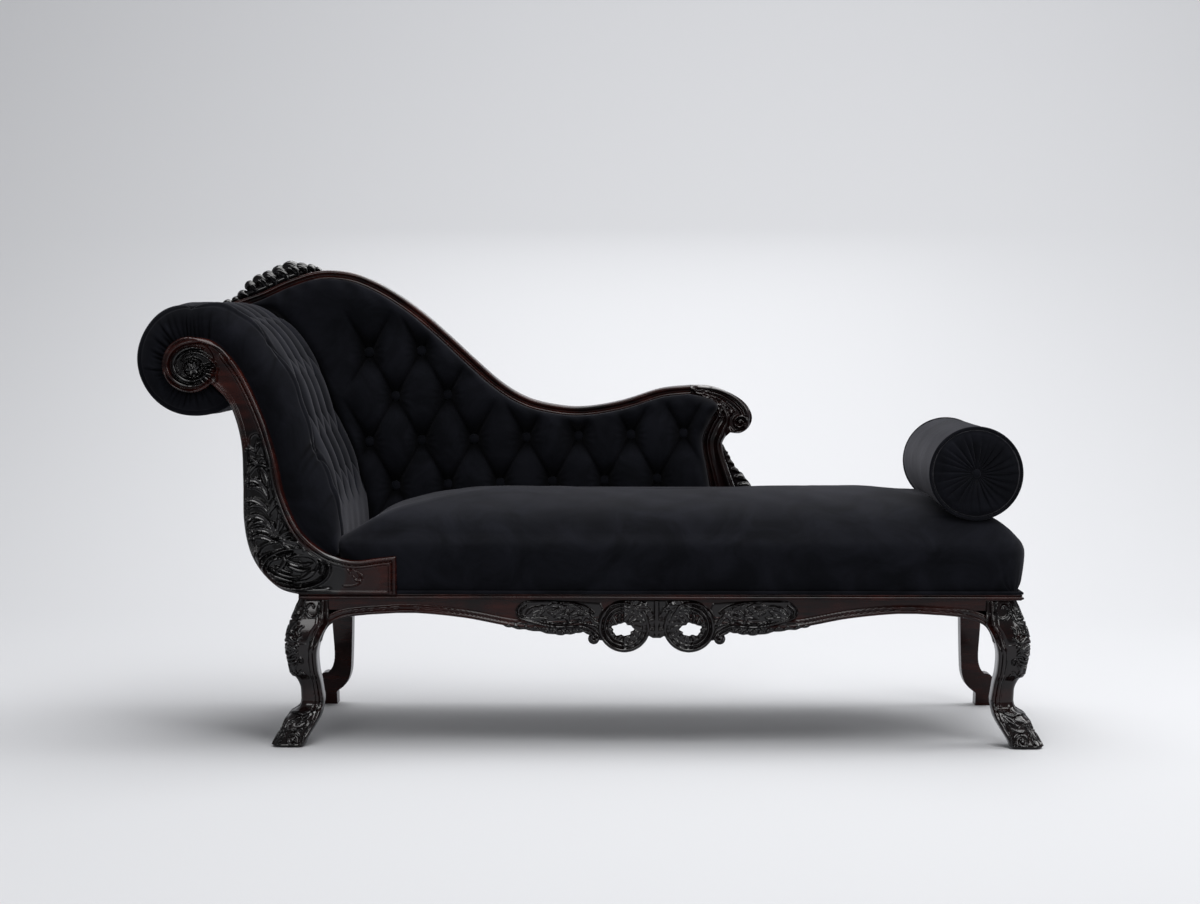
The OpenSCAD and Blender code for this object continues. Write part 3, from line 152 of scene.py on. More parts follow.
def ribbon(name, line, section):
    """A closed section of (out, y) points drawn along a line of (x, z) points, in mm, with flat ends."""
    line, section = np.asarray(line, float), np.asarray(section, float)
    n, m = len(line), len(section)
    piece, u, v = sheet(name, n + 1, m)
    i, j = np.rint(u * (n + 1)).astype(int), np.rint(v * m).astype(int) % m
    cap = (i == 0) | (i == n + 1)
    k = np.clip(i - 1, 0, n - 1)
    side = across(line)
    middle = section.mean(0)
    out = np.where(cap, middle[0], section[j, 0])
    y = np.where(cap, middle[1], section[j, 1])
    shape(piece, line[k, 0] + side[k, 0] * out, y, line[k, 1] + side[k, 1] * out)
    return close_up(piece, angle=35)


# carving
def cut(points, width, tall, kind="bead", count=18):
    """One stroke of the carver's gouge: a smooth line with a width and a height in mm."""
    line = curve(points, count)
    t = np.linspace(0, 1, count)
    if kind == "leaf":
        w = width * np.sin(math.pi * np.clip(t, 0.03, 0.975) ** 0.85) ** 0.62
    elif kind == "taper":
        w = width * (1 - 0.75 * t)
    else:
        w = np.full(count, float(width))
    return line, w, tall, kind


def band(points, widths, tall, count=60):
    """A rounded band whose half width changes along it."""
    share = np.linspace(0, 1, count)
    return smooth(points, share), np.interp(share, np.linspace(0, 1, len(widths)), widths), tall, "bead"


def leaf(x, z, angle, length, width, curl=0, tall=5.0):
    """A carved leaf that starts at a point, heads along angle and curls round by curl degrees."""
    steps = 8
    a = np.radians(angle + curl * np.linspace(0, 1, steps) ** 1.4)
    d = length / steps
    px = x + np.concatenate([[0], np.cumsum(np.cos(a))]) * d
    pz = z + np.concatenate([[0], np.cumsum(np.sin(a))]) * d
    return cut(np.stack([px, pz], 1), width, tall, "leaf", 16)


def curl_line(x, z, start, turns, first, last, count=40):
    """A spiral round a point, from the start angle, whose radius goes from first to last."""
    t = np.linspace(0, 1, count)
    a = np.radians(start + 360 * turns * t)
    r = first + (last - first) * t ** 0.8
    return np.stack([x + r * np.cos(a), z + r * np.sin(a)], 1)


def mirrored(strokes, x):
    return [(np.stack([2 * x - s[0][:, 0], s[0][:, 1]], 1), s[1], s[2], s[3]) for s in strokes]


def carve(x, z, strokes):
    """Height of the carving in mm over each point of its drawing, where the tallest stroke wins."""
    height = np.zeros_like(x)
    for line, width, tall, kind in strokes:
        reach = width.max()
        lo, hi = line.min(0) - reach, line.max(0) + reach
        near = np.nonzero((x > lo[0]) & (x < hi[0]) & (z > lo[1]) & (z < hi[1]))[0]
        if not len(near):
            continue
        px, pz = x[near], z[near]
        best = np.full(len(near), 9.0)
        along, side = np.zeros(len(near)), np.zeros(len(near))
        for k in range(len(line) - 1):
            a, d = line[k], line[k + 1] - line[k]
            t = np.clip(((px - a[0]) * d[0] + (pz - a[1]) * d[1]) / max(d @ d, 1e-9), 0, 1)
            qx, qz = px - a[0] - t * d[0], pz - a[1] - t * d[1]
            share = np.hypot(qx, qz) / np.maximum(width[k] + (width[k + 1] - width[k]) * t, 0.2)
            nearer = share < best
            best = np.where(nearer, share, best)
            along = np.where(nearer, (k + t) / (len(line) - 1), along)
            side = np.where(nearer, np.sign(d[0] * qz - d[1] * qx), side)
        s = np.clip(best, 0, 1)
        if kind == "leaf":
            # A broad leaf is hollow between raised edges and a narrow one is round. The tip stands up
            hollow = 0.42 if reach > 4.5 else 0.0
            h = np.sqrt(1 - s ** 4) * (1 - hollow * (1 + np.cos(math.pi * np.clip(s / 0.72, 0, 1))) / 2)
            h *= 0.7 + 0.3 * along
        elif kind == "reed":
            h = np.abs(np.cos(1.5 * math.pi * s)) * 0.35 + 0.65 * (1 - s ** 6)
        elif kind == "flat":
            h = ease((1 - s) * 4)
        else:
            h = np.sqrt(1 - s ** 2)
        height[near] = np.maximum(height[near], np.where(best < 1, tall * h, 0))
    return height


def mark(piece, name, values):
    """Keeps a share for each point, or one for all, which a material reads."""
    layer = piece.data.attributes.new(name, "FLOAT", "POINT")
    layer.data.foreach_set("value", np.full(len(piece.data.vertices), values, np.float32))




def nearest(x, z, line, closed=False):
    """Distance from each point to a line, the nearest point on it and the share along it."""
    ends = np.vstack([line, line[:1]]) if closed else line
    best = np.full(len(x), 1e9)
    qx, qz, along = np.zeros(len(x)), np.zeros(len(x)), np.zeros(len(x))
    for k in range(len(ends) - 1):
        a, d = ends[k], ends[k + 1] - ends[k]
        t = np.clip(((x - a[0]) * d[0] + (z - a[1]) * d[1]) / max(d @ d, 1e-9), 0, 1)
        nx, nz = a[0] + t * d[0], a[1] + t * d[1]
        far = np.hypot(x - nx, z - nz)
        nearer = far < best
        best = np.where(nearer, far, best)
        qx, qz = np.where(nearer, nx, qx), np.where(nearer, nz, qz)
        along = np.where(nearer, (k + t) / (len(ends) - 1), along)
    return best, qx, qz, along


def within(x, z, loop):
    """Which points lie inside a closed outline."""
    inside = np.zeros(len(x), bool)
    for k in range(len(loop)):
        (ax, az), (bx, bz) = loop[k - 1], loop[k]
        if az == bz:
            continue
        crosses = ((az > z) != (bz > z)) & (x < (bx - ax) * (z - az) / (bz - az) + ax)
        inside ^= crosses
    return inside


def carved_board(name, loops, holes, y_back, pitch, surface):
    """A board sawn to outlines in the XZ plane, whose front is carved by surface(x, z, edge) -> y."""
    every = np.vstack(loops)
    lo, hi = every.min(0) - pitch, every.max(0) + pitch
    columns, rows = int((hi[0] - lo[0]) / pitch), int((hi[1] - lo[1]) / pitch)
    piece, u, v = sheet(name, columns, rows)
    x, z = lo[0] + u * (hi[0] - lo[0]), lo[1] + v * (hi[1] - lo[1])
    depth, qx, qz = np.full(len(x), -1e9), x.copy(), z.copy()
    for loop in loops:
        d, nx, nz, _ = nearest(x, z, loop, True)
        d = np.where(within(x, z, loop), d, -d)
        more = d > depth
        depth, qx, qz = np.where(more, d, depth), np.where(more, nx, qx), np.where(more, nz, qz)
    for loop in holes:
        d, nx, nz, _ = nearest(x, z, loop, True)
        d = np.where(within(x, z, loop), -d, d)
        less = d < depth
        depth, qx, qz = np.where(less, d, depth), np.where(less, nx, qx), np.where(less, nz, qz)
    kept = depth > 0.2 * pitch
    used = np.zeros(len(x), bool)
    mesh = bmesh.new()
    mesh.from_mesh(piece.data)
    points = list(mesh.verts)
    drop = []
    for f in mesh.faces:
        ids = [w.index for w in f.verts]
        if kept[ids].any():
            used[ids] = True
        else:
            drop.append(f)
    snapped = used & ~kept
    x, z = np.where(snapped, qx, x), np.where(snapped, qz, z)
    edge = np.where(snapped, 0, np.maximum(depth, 0))
    y = surface(x, z, edge)
    # A gouge leaves no steps: each point takes half of its height from its two neighbours, both ways
    grid = y.reshape(rows + 1, -1)
    for axis in (0, 1):
        grid = grid / 2 + (np.roll(grid, 1, axis) + np.roll(grid, -1, axis)) / 4
    y = grid.ravel()
    for i, w in enumerate(points):
        w.co = (x[i] * MM, y[i] * MM, z[i] * MM)
    bmesh.ops.delete(mesh, geom=drop, context="FACES")
    mesh.to_mesh(piece.data)
    mesh.free()
    pick(piece)
    bpy.ops.object.mode_set(mode="EDIT")
    bpy.ops.mesh.select_mode(type="EDGE")
    bpy.ops.mesh.select_all(action="SELECT")
    bpy.ops.mesh.remove_doubles(threshold=0.05 * MM)
    bpy.ops.mesh.delete_loose()
    bpy.ops.mesh.select_all(action="DESELECT")
    bpy.ops.mesh.select_non_manifold()
    bpy.ops.mesh.extrude_edges_move(TRANSFORM_OT_translate={"value": (0, 0.001, 0)})
    bpy.ops.object.mode_set(mode="OBJECT")
    for w in piece.data.vertices:
        if w.select:
            w.co.y = y_back * MM
    bpy.ops.object.mode_set(mode="EDIT")
    bpy.ops.mesh.fill(use_beauty=False)
    bpy.ops.mesh.select_mode(type="VERT")
    bpy.ops.object.mode_set(mode="OBJECT")
    return close_up(piece, 0.02, 40)


def circle(x, z, radius):
    """72 points round a circle."""
    t = np.linspace(0, 2 * math.pi, 73)[:-1]
    return np.stack([x + radius * np.cos(t), z + radius * np.sin(t)], 1)


def coordinates(piece):
    co = np.empty(len(piece.data.vertices) * 3)
    piece.data.vertices.foreach_get("co", co)
    return co.reshape(-1, 3) / MM


def rounded_edge(edge, radius):
    """How far a rounded edge falls back, at a distance in from the edge."""
    t = np.clip(edge / radius, 0, 1)
    return radius * (1 - np.sqrt(np.maximum(0, 1 - (1 - t) ** 2)))


def bead_at(distance, centre, radius, tall=None):
    """Height of a half-round bead that runs at a distance from an edge."""
    s = np.clip(np.abs(distance - centre) / radius, 0, 1)
    return (radius if tall is None else tall) * np.sqrt(1 - s ** 2)


def beaded_along(lower):
    """The surface of a flat apron board with a bold and a fine bead along its lower edge."""
    def board(x, z, edge):
        down = nearest(x, z, lower)[0]
        beads = np.maximum(bead_at(down, 3.6, 3.4, 3.6), bead_at(down, 12, 2.6, 2.6))
        return APRON_Y - beads + rounded_edge(edge, 1.5) * (down < 3)
    return board


# finishes
def colour(code):
    """An sRGB hex value as linear red, green, blue and alpha."""
    parts = [int(code[i:i + 2], 16) / 255 for i in (1, 3, 5)]
    return [p / 12.92 if p <= 0.04045 else ((p + 0.055) / 1.055) ** 2.4 for p in parts] + [1.0]


def add(material, kind, inputs=None, **settings):
    """Adds a node with its settings, and links or sets its inputs."""
    tree = material.node_tree
    made = tree.nodes.new(kind)
    for key, value in settings.items():
        setattr(made, key, value)
    for key, value in (inputs or {}).items():
        if isinstance(value, bpy.types.NodeSocket):
            tree.links.new(value, made.inputs[key])
        else:
            made.inputs[key].default_value = value
    return made


def fresh(name):
    material = bpy.data.materials.new(name)
    material.use_nodes = True
    material.node_tree.nodes.clear()
    return material


def output(material, shader):
    add(material, "ShaderNodeOutputMaterial", {"Surface": shader.outputs[0]})
    return material


def ebonised_mahogany(finish):
    """Mahogany stained black, lacquered and rubbed: black in the carving, red-brown on the plain fields."""
    m = fresh("ebonised mahogany, rubbed lacquer")
    place = add(m, "ShaderNodeTexCoord").outputs["Object"]
    # Ribbon figure in stripes of about 14 mm, and pores 0.6 mm wide, drawn at 1.5 mm so that they show
    along = add(m, "ShaderNodeMapping", {"Vector": place, "Scale": (9, 40, 70)}).outputs[0]
    figure = add(m, "ShaderNodeTexNoise", {"Vector": along, "Scale": 1.0, "Detail": 5.0, "Roughness": 0.6})
    fine = add(m, "ShaderNodeMapping", {"Vector": place, "Scale": (60, 500, 650)}).outputs[0]
    pores = add(m, "ShaderNodeTexNoise", {"Vector": fine, "Scale": 1.0, "Detail": 3.0})
    # Old hands wear the stain away in patches of about 60 mm
    worn = add(m, "ShaderNodeTexNoise", {"Vector": place, "Scale": 16.0, "Detail": 3.0})
    cut_here = add(m, "ShaderNodeAttribute", attribute_name="carved").outputs["Fac"]
    rubbed = add(m, "ShaderNodeMath", {0: figure.outputs[0], 1: worn.outputs[0]}, operation="MULTIPLY")
    rubbed = add(m, "ShaderNodeMapRange", {"Value": rubbed.outputs[0], "From Min": 0.12, "From Max": 0.4})
    plain = add(m, "ShaderNodeMath", {0: 1.0, 1: cut_here}, operation="SUBTRACT", use_clamp=True)
    red = add(m, "ShaderNodeMath", {0: rubbed.outputs[0], 1: plain.outputs[0]}, operation="MULTIPLY")
    stain = add(m, "ShaderNodeMix",
                {0: red.outputs[0], 6: list(finish.ebony) + [1], 7: list(finish.mahogany) + [1]},
                data_type="RGBA")
    rough = add(m, "ShaderNodeMapRange", {"Value": worn.outputs[0], "From Min": 0.3, "From Max": 0.7,
                                          "To Min": 0.13, "To Max": 0.21})
    bump = add(m, "ShaderNodeBump", {"Height": pores.outputs[0], "Strength": 0.12, "Distance": 0.0004})
    # Lacquer gathers thick and bright in the carving and is rubbed thin on the flats
    lacquer = add(m, "ShaderNodeMapRange", {"Value": cut_here, "To Min": 0.2, "To Max": 0.9})
    skin = add(m, "ShaderNodeBsdfPrincipled", {
        "Base Color": stain.outputs[2], "Roughness": rough.outputs[0], "Normal": bump.outputs[0],
        "IOR": 1.52, "Specular IOR Level": 0.33, "Coat Weight": lacquer.outputs[0], "Coat Roughness": 0.06,
        "Coat IOR": 1.5})
    return output(m, skin)


def cotton_velvet(finish):
    """Black cotton velvet: no gloss, a cool sheen at glancing angles, marks where the nap lies over, and
    painted shade down in the folds.
    """
    m = fresh("black cotton velvet")
    place = add(m, "ShaderNodeTexCoord").outputs["Object"]
    # The nap lies over in brushed patches of about 90 mm with streaky edges
    nap = add(m, "ShaderNodeTexNoise", {"Vector": place, "Scale": 11.0, "Detail": 5.0, "Roughness": 0.62,
                                        "Distortion": 0.9})
    nap_mark = add(m, "ShaderNodeMapRange", {"Value": nap.outputs[0], "From Min": 0.38, "From Max": 0.66})
    # Pile tufts stand 0.4 mm apart, drawn at 1.6 mm so that they show
    pile = add(m, "ShaderNodeTexNoise", {"Vector": place, "Scale": 620.0, "Detail": 2.0})
    shade = add(m, "ShaderNodeMix", {0: nap_mark.outputs[0], 6: list(finish.velvet) + [1],
                                     7: list(finish.velvet_brushed) + [1]}, data_type="RGBA")
    # Painted shade: where the 'fold' attribute marks a deep tuft or pleat, the colour is mixed towards near
    # black in place of the shade that falls there
    fold = add(m, "ShaderNodeAttribute", attribute_name="fold").outputs["Fac"]
    painted_fold_shade = add(m, "ShaderNodeMix", {0: fold, 6: shade.outputs[2], 7: colour("#020203")}, data_type="RGBA")
    lie = add(m, "ShaderNodeMath", {0: nap.outputs[0], 1: 0.6}, operation="MULTIPLY")
    height = add(m, "ShaderNodeMath", {0: lie.outputs[0], 1: pile.outputs[0]}, operation="ADD")
    bump = add(m, "ShaderNodeBump", {"Height": height.outputs[0], "Strength": 0.22, "Distance": 0.0008})
    skin = add(m, "ShaderNodeBsdfPrincipled", {
        "Base Color": painted_fold_shade.outputs[2], "Roughness": 0.9, "Normal": bump.outputs[0],
        "Specular IOR Level": 0.05, "Sheen Weight": 0.33, "Sheen Roughness": 0.4,
        "Sheen Tint": colour("#a2a2aa")})
    return output(m, skin)


def simple_finish(name, low, high, size, rough, bump_depth, stretch=(1, 1, 1), **extra):
    """A hidden piece's finish: two close shades in a pattern of a real size in mm."""
    m = fresh(name)
    place = add(m, "ShaderNodeTexCoord").outputs["Object"]
    way = add(m, "ShaderNodeMapping", {"Vector": place, "Scale": stretch}).outputs[0]
    mottle = add(m, "ShaderNodeTexNoise", {"Vector": way, "Scale": 1000.0 / size, "Detail": 4.0})
    spread = add(m, "ShaderNodeMapRange", {"Value": mottle.outputs[0], "From Min": 0.35, "From Max": 0.65})
    shade = add(m, "ShaderNodeMix", {0: spread.outputs[0], 6: colour(low), 7: colour(high)}, data_type="RGBA")
    bump = add(m, "ShaderNodeBump",
               {"Height": mottle.outputs[0], "Strength": 0.4, "Distance": bump_depth * MM})
    return output(m, add(m, "ShaderNodeBsdfPrincipled", {
        "Base Color": shade.outputs[2], "Roughness": rough, "Normal": bump.outputs[0], **extra}))


def jute_webbing():
    """Jute webbing in plain weave: threads 3 mm apart, over and under."""
    m = fresh("woven jute webbing")
    place = add(m, "ShaderNodeTexCoord").outputs["Object"]
    warp = add(m, "ShaderNodeTexWave", {"Vector": place, "Scale": 105.0, "Distortion": 0.6},
               bands_direction="X")
    weft = add(m, "ShaderNodeTexWave", {"Vector": place, "Scale": 105.0, "Distortion": 0.6},
               bands_direction="Y")
    weave = add(m, "ShaderNodeMath", {0: warp.outputs[1], 1: weft.outputs[1]}, operation="MULTIPLY")
    shade = add(m, "ShaderNodeMix", {0: weave.outputs[0], 6: colour("#5e4a2c"), 7: colour("#a98f5f")},
                data_type="RGBA")
    bump = add(m, "ShaderNodeBump", {"Height": weave.outputs[0], "Strength": 0.7, "Distance": 0.0008})
    return output(m, add(m, "ShaderNodeBsdfPrincipled", {
        "Base Color": shade.outputs[2], "Roughness": 0.88, "Normal": bump.outputs[0]}))


FINISH = {}


def dress(piece, body, slot, *nodes):
    """Gives a piece its finish and its body, and puts it in the place of the nodes that it stands for."""
    piece.data.materials.clear()
    piece.data.materials.append(FINISH[slot])
    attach(piece, body)
    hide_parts(*nodes)


# what a user would change
def length(name, description, default, low, high):
    """A length in metres that a user can change."""
    return FloatProperty(name=name, description=description, default=default, min=low, max=high,
                         unit="LENGTH")


def tint(name, description, code):
    """A colour that a user can change, from its sRGB hex value."""
    return FloatVectorProperty(name=name, description=description, subtype="COLOR", size=3, min=0, max=1,
                               default=colour(code)[:3])


class CouchSizes(bpy.types.PropertyGroup):
    head_tuft: length("Head tuft depth", "How deep the buttons of the head pull in", 0.026, 0.005, 0.03)
    back_tuft: length("Back tuft depth", "How deep the buttons of the back pull in", 0.026, 0.01, 0.035)
    button: length("Button width", "Width of a covered button across its dome", 0.021, 0.012, 0.03)
    pleats: IntProperty(name="Bolster pleats", description="Pleats gathered into each end of the bolster",
                        default=26, min=16, max=40)
    sag: length("Seat unevenness", "How far the hand-stuffed seat dips and swells", 0.0022, 0, 0.005)


class CouchFinish(bpy.types.PropertyGroup):
    ebony: tint("Ebonised wood", "Black stain that stays in the carving", "#080607")
    mahogany: tint("Rubbed mahogany", "Red-brown wood under the rubbed lacquer", "#3e1812")
    velvet: tint("Velvet", "The velvet where the pile stands up", "#111216")
    velvet_brushed: tint("Brushed velvet", "The velvet where the pile lies over", "#1b1c22")
    backdrop: tint("Studio paper", "The pale paper under and behind the couch", "#dedfe2")


# places and outlines shared by several pieces, in mm
MIDDLE_X = 132.5                        # the front legs and the apron are mirrored about this line
FRAME_LEFT, FRAME_RIGHT = -561, 826     # outer faces of the seat frame
FRAME_FRONT, FRAME_REAR = -275, 300
APRON_Y = -273.0                        # face of the apron, from which its beads and carving rise
RINGS = [(69.5, 231), (195.5, 231)]     # middles of the two rings in the cartouche
FACING_INNER = curve([(-370, 369), (-402, 365.5), (-457, 360), (-509, 376), (-557, 418), (-588, 486),
                      (-604.5, 563), (-629.5, 641), (-671, 726.5), (-719, 780), (-768, 791.5)], 90)
FACING_OUTER = curve([(-727, 701), (-691, 660), (-670, 592), (-666, 515), (-665, 437), (-654, 379),
                      (-631, 337), (-596, 305), (-560, 294)], 60)
VOLUTE = (-768.0, 737.5)
VOLUTE_R = 54.0
FACING_Y = -295.0
CREST = curve([(-775.5, 862.5), (-710.6, 885), (-651, 911.5), (-586, 930.6), (-521.5, 927.5),
               (-467.8, 908.8), (-415, 879), (-361.5, 840), (-307.8, 793), (-255, 744), (-201.5, 697),
               (-154.5, 667), (-105, 650), (-30, 641.3), (56, 654), (141, 680), (204.8, 687)], 220)


class COUCH_OT_facing(bpy.types.Operator):
    """Carves the scroll facing of the head: beads, volute, acanthus spray and oval"""
    bl_idname = "couch.facing"
    bl_label = "Head facing"

    def execute(self, context):
        angle = np.radians(np.linspace(90, 320, 50))
        disc = np.stack([VOLUTE[0] + VOLUTE_R * np.cos(angle), VOLUTE[1] + VOLUTE_R * np.sin(angle)], 1)
        loop = np.vstack([FACING_INNER[:-1], disc, FACING_OUTER, [(-370, 294)]])
        rim_line = np.vstack([FACING_INNER[:-1], disc[:40]])
        outer = np.vstack([FACING_OUTER, [(-370, 294)]])
        spray, scroll, ground = self.spray(), self.volute(), self.ground()

        def surface(x, z, edge):
            near_in, _, _, along = nearest(x, z, rim_line)
            near_out = nearest(x, z, outer)[0]
            rim = np.minimum(near_in, np.where(z < 380, -370 - x, 999))
            in_disc = np.hypot(x - VOLUTE[0], z - VOLUTE[1])
            # The edge bead is bold on the stem and thins as it runs round the volute
            thin = ease((along - 0.62) / 0.12) * (in_disc < 60)
            bold = bead_at(rim, 4.8, 4.4, 6.4) * (1 - thin) + bead_at(rim, 2.6, 2.4, 4) * thin
            second = bead_at(rim, 13, 3.2, 4.2) * ease((in_disc - 56) / 10)
            beads = np.maximum.reduce([bold, second, bead_at(near_out, 3, 2.4, 3) * ease((in_disc - 50) / 5),
                                       bead_at(near_out, 8, 1.5, 1.6) * ease((in_disc - 54) / 8)
                                       * (x < -560)])
            # The field is hollowed, and the ground is cut back round the leaves
            field = (1.8 * np.sin(np.pi * np.clip((rim - 16) / 45, 0, 1)) * ease((near_out - 5) / 8)
                     * ease((-x - 530) / 30))
            field += (4.4 * carve(x, z, ground) * ease((rim - 16) / 6) * ease((near_out - 9) / 6)
                      * ease((-x - 492) / 30))
            field = np.where(in_disc < 51, 3.6 * ease((51 - in_disc) / 5), field * ease((-x - 373) / 14))
            relief = 1.45 * carve(x, z, spray) * ease((rim - 15) / 3) * ease((near_out - 2) / 3)
            height = np.maximum(relief, 1.25 * carve(x, z, scroll)) - field
            height = np.where(beads > 0, np.maximum(beads, height), height)
            return FACING_Y - height + rounded_edge(edge, 2.2)

        piece = carved_board("head_facing_carved", [loop], [], -275, 1.05, surface)
        co = coordinates(piece)
        x, z = co[:, 0], co[:, 2]
        black = np.clip(carve(x, z, ground), 0, 1)
        eye = 1 - ease((np.hypot(x - VOLUTE[0] - 2, z - VOLUTE[1] + 4) - 36) / 9)
        mark(piece, "carved", np.maximum(black, eye))
        dress(piece, "couch", "show_wood", "head_facing", "facing_carving")
        return {"FINISHED"}

    def volute(self):
        """Two bands that wind in to a lip and a rosette, with a fan of leaves where the lip hooks back"""
        made = [
            band([(-690, 748), (-709.5, 769), (-737.7, 780.5), (-762.2, 782.3), (-786.7, 776), (-802.7, 764),
                  (-811.5, 747.7), (-812, 730.5), (-805.3, 715.9), (-792, 703.2), (-773.3, 696.5),
                  (-753.7, 697.5), (-737.7, 703.6)], [3, 3.2, 4, 5, 5.4, 5.2, 5, 5, 4.6, 4.2, 3.6, 3, 2], 7.5,
                 90),
            band([(-741, 768), (-765, 770), (-787, 761), (-799, 744), (-795, 723), (-780.6, 709.5),
                  (-763.4, 705.8), (-746.3, 710.7), (-735.2, 719.5)],
                 [1.5, 3.6, 4.4, 4.8, 4.4, 4, 3.4, 2.8, 1.5], 8, 80),
            band([(-784.3, 744), (-776, 756), (-758.6, 761), (-743.9, 758), (-731.6, 750.2), (-721.8, 741.6),
                  (-715.7, 734.2), (-714.4, 727), (-716.5, 717), (-715.7, 706)],
                 [1.5, 2.4, 2.9, 2.9, 2.9, 2.8, 2.7, 2.6, 2.4, 1.6], 9, 70)]
        x, z = -762.0, 730.5
        made.append(cut(curl_line(x, z, 0, 1, 18.2, 18.2), 2.3, 7, count=50))
        made += [cut([(x + 18.2 * math.cos(a), z + 18.2 * math.sin(a)),
                      (x + 18.6 * math.cos(a), z + 18.6 * math.sin(a))],
                     2.1, 8.2, count=3) for a in np.radians(range(0, 360, 30))]
        for k in range(6):
            a = math.radians(60 * k + 12)
            made.append(leaf(x + 3.5 * math.cos(a), z + 3.5 * math.sin(a), 60 * k + 4, 11, 4.4, 40, 7))
        made.append(cut([(x - 0.2, z), (x + 0.2, z)], 4, 8.6, count=3))
        for angle, length, bend in ((12, 24, -16), (-4, 25, -8), (-20, 25, 4), (-37, 24, 12), (-54, 20, 20)):
            a = math.radians(angle)
            made.append(leaf(x + 20 * math.cos(a), z + 20 * math.sin(a), angle, length, 2.8, bend, 7.2))
        return made

    def spray(self):
        """Acanthus on the lower half: bud, star of leaves, feathered leaves and an oval of swirls"""
        def stroke(width, tall, *places):
            return cut([(-678.5 + right, 612.3 - down) for right, down in places], width, tall, "leaf", 22)

        def line(width, tall, *places):
            return cut([(-678.5 + right, 612.3 - down) for right, down in places], width, tall, "bead", 26)

        made = [
            stroke(2.8, 5, (34, 43), (37.5, 29), (41.5, 17)), stroke(2.4, 5, (33, 43), (26, 37), (19, 39)),
            stroke(2.3, 5, (37, 43), (42, 34), (42.5, 25)), line(1.5, 4, (36.5, 44), (39, 52), (39.5, 62)),
            # star of leaves
            stroke(3, 6, (39, 67), (30, 65), (20, 68)), stroke(3, 6, (39, 65), (32, 58), (25, 53)),
            stroke(3, 6, (40, 64), (46, 54), (56, 57)), stroke(3, 6, (42, 67), (52, 69), (63, 75)),
            stroke(3.2, 6, (38, 69), (29, 77), (22, 89)),
            stroke(4.6, 6, (46, 73), (55, 84), (60, 99), (61, 112)), line(3, 6.5, (39.4, 66.4), (39.8, 67)),
            line(1.8, 4, (40, 70), (46, 95), (58, 120)),
            # feathered leaves that sweep to the outer edge
            stroke(5.6, 7, (60, 134), (55, 117), (43, 102), (29, 97), (17, 104)),
            stroke(3.8, 6.4, (58, 130), (48, 117), (36, 111), (23, 111)),
            stroke(5.8, 7, (63, 168), (54, 149), (41, 139), (27, 135), (16, 140)),
            stroke(4, 6.4, (60, 162), (48, 149), (32, 147), (19, 154)),
            stroke(5.8, 7, (70, 197), (60, 180), (47, 170), (32, 167), (21, 176), (18, 189)),
            stroke(4, 6.4, (67, 193), (54, 183), (40, 179), (27, 186)),
            stroke(5.4, 7, (73, 209), (62, 198), (48, 193), (33, 194), (21, 202)),
            stroke(5.8, 7.4, (72, 217), (54, 208), (38, 207), (26, 213)),
            # leaves on the bead's side
            stroke(4.4, 6.6, (63, 162), (67, 146), (74, 135), (82, 132)),
            stroke(3, 6, (64, 160), (74, 146), (84, 142)),
            stroke(4.8, 6.6, (78, 209), (80, 189), (83, 168), (79, 152)),
            stroke(3.4, 6.4, (76, 207), (72, 192), (70, 176)),
            stroke(3.2, 6.2, (79, 200), (88, 184), (90, 172)),
            stroke(4, 6.4, (81, 209), (92, 200), (106, 196)),
            stroke(3.4, 6.2, (83, 212), (95, 207), (110, 206)), line(2.4, 6.5, (78.5, 154), (79, 154.5)),
            line(2.2, 6.5, (82.5, 161), (83, 161.5)),
            # hub, long leaves to the bead, and the scroll that turns under to the oval
            stroke(5, 7.2, (82, 214), (104, 222), (125, 228), (147, 239), (170, 246)),
            stroke(4, 6.8, (86, 220), (104, 231), (129, 237), (158, 248)),
            stroke(3.6, 6.2, (96, 216), (118, 219), (138, 230)),
            stroke(3.2, 6.4, (82, 210), (94, 214), (104, 212)),
            line(3.2, 7.6, (76, 218), (62, 219), (50, 224), (42, 233), (38.5, 245), (43, 255))]
        made += [line(2.4, 7.8, (78 + 5 * math.cos(a), 211 + 5 * math.sin(a)),
                      (78.4 + 5 * math.cos(a), 211 + 5 * math.sin(a)))
                 for a in np.radians(range(0, 360, 72))]
        t = np.linspace(0, 2 * math.pi, 80)
        for rx, rz, width, tall in ((65, 38.5, 3.2, 7.4), (56.5, 31, 1.7, 5.4)):
            ring = np.stack([-563.5 + rx * np.cos(t), 343 + rz * np.sin(t)], 1)
            made.append((ring, np.full(80, width), tall, "bead"))
        # swirls inside the oval
        made += [
            stroke(4.2, 7, (99, 249), (117, 243), (140, 244), (153, 252), (156, 263), (151, 273)),
            stroke(5, 7, (96, 251), (107, 259), (125, 262), (145, 258)),
            stroke(4.2, 7, (91, 243), (92, 256), (84, 268), (73, 276)),
            stroke(2.9, 6.6, (43, 262), (47, 246), (68, 236)),
            stroke(2.9, 6.6, (50, 262), (57, 248), (79, 243)),
            stroke(2.9, 6.4, (57, 264), (65, 253), (86, 249)),
            stroke(3.6, 6.6, (58, 270), (74, 284), (95, 291), (114, 294)),
            stroke(3.4, 6.6, (64, 266), (82, 279), (105, 285), (122, 284)),
            stroke(3.2, 6.4, (74, 264), (88, 272), (106, 277)),
            stroke(3.8, 6.6, (98, 263), (111, 270), (127, 273), (141, 268))]
        made += [stroke(2.3, 6.8, (116 + 4.6 * k, 292 - 0.6 * k), (132 + 4.2 * k, 284 - k),
                        (143 + 3.4 * k, 273 - k))
                 for k in range(4)]
        made += [line(2.2, 6.6, (160, 256 + 7 * k), (160.4, 256.5 + 7 * k)) for k in range(4)]
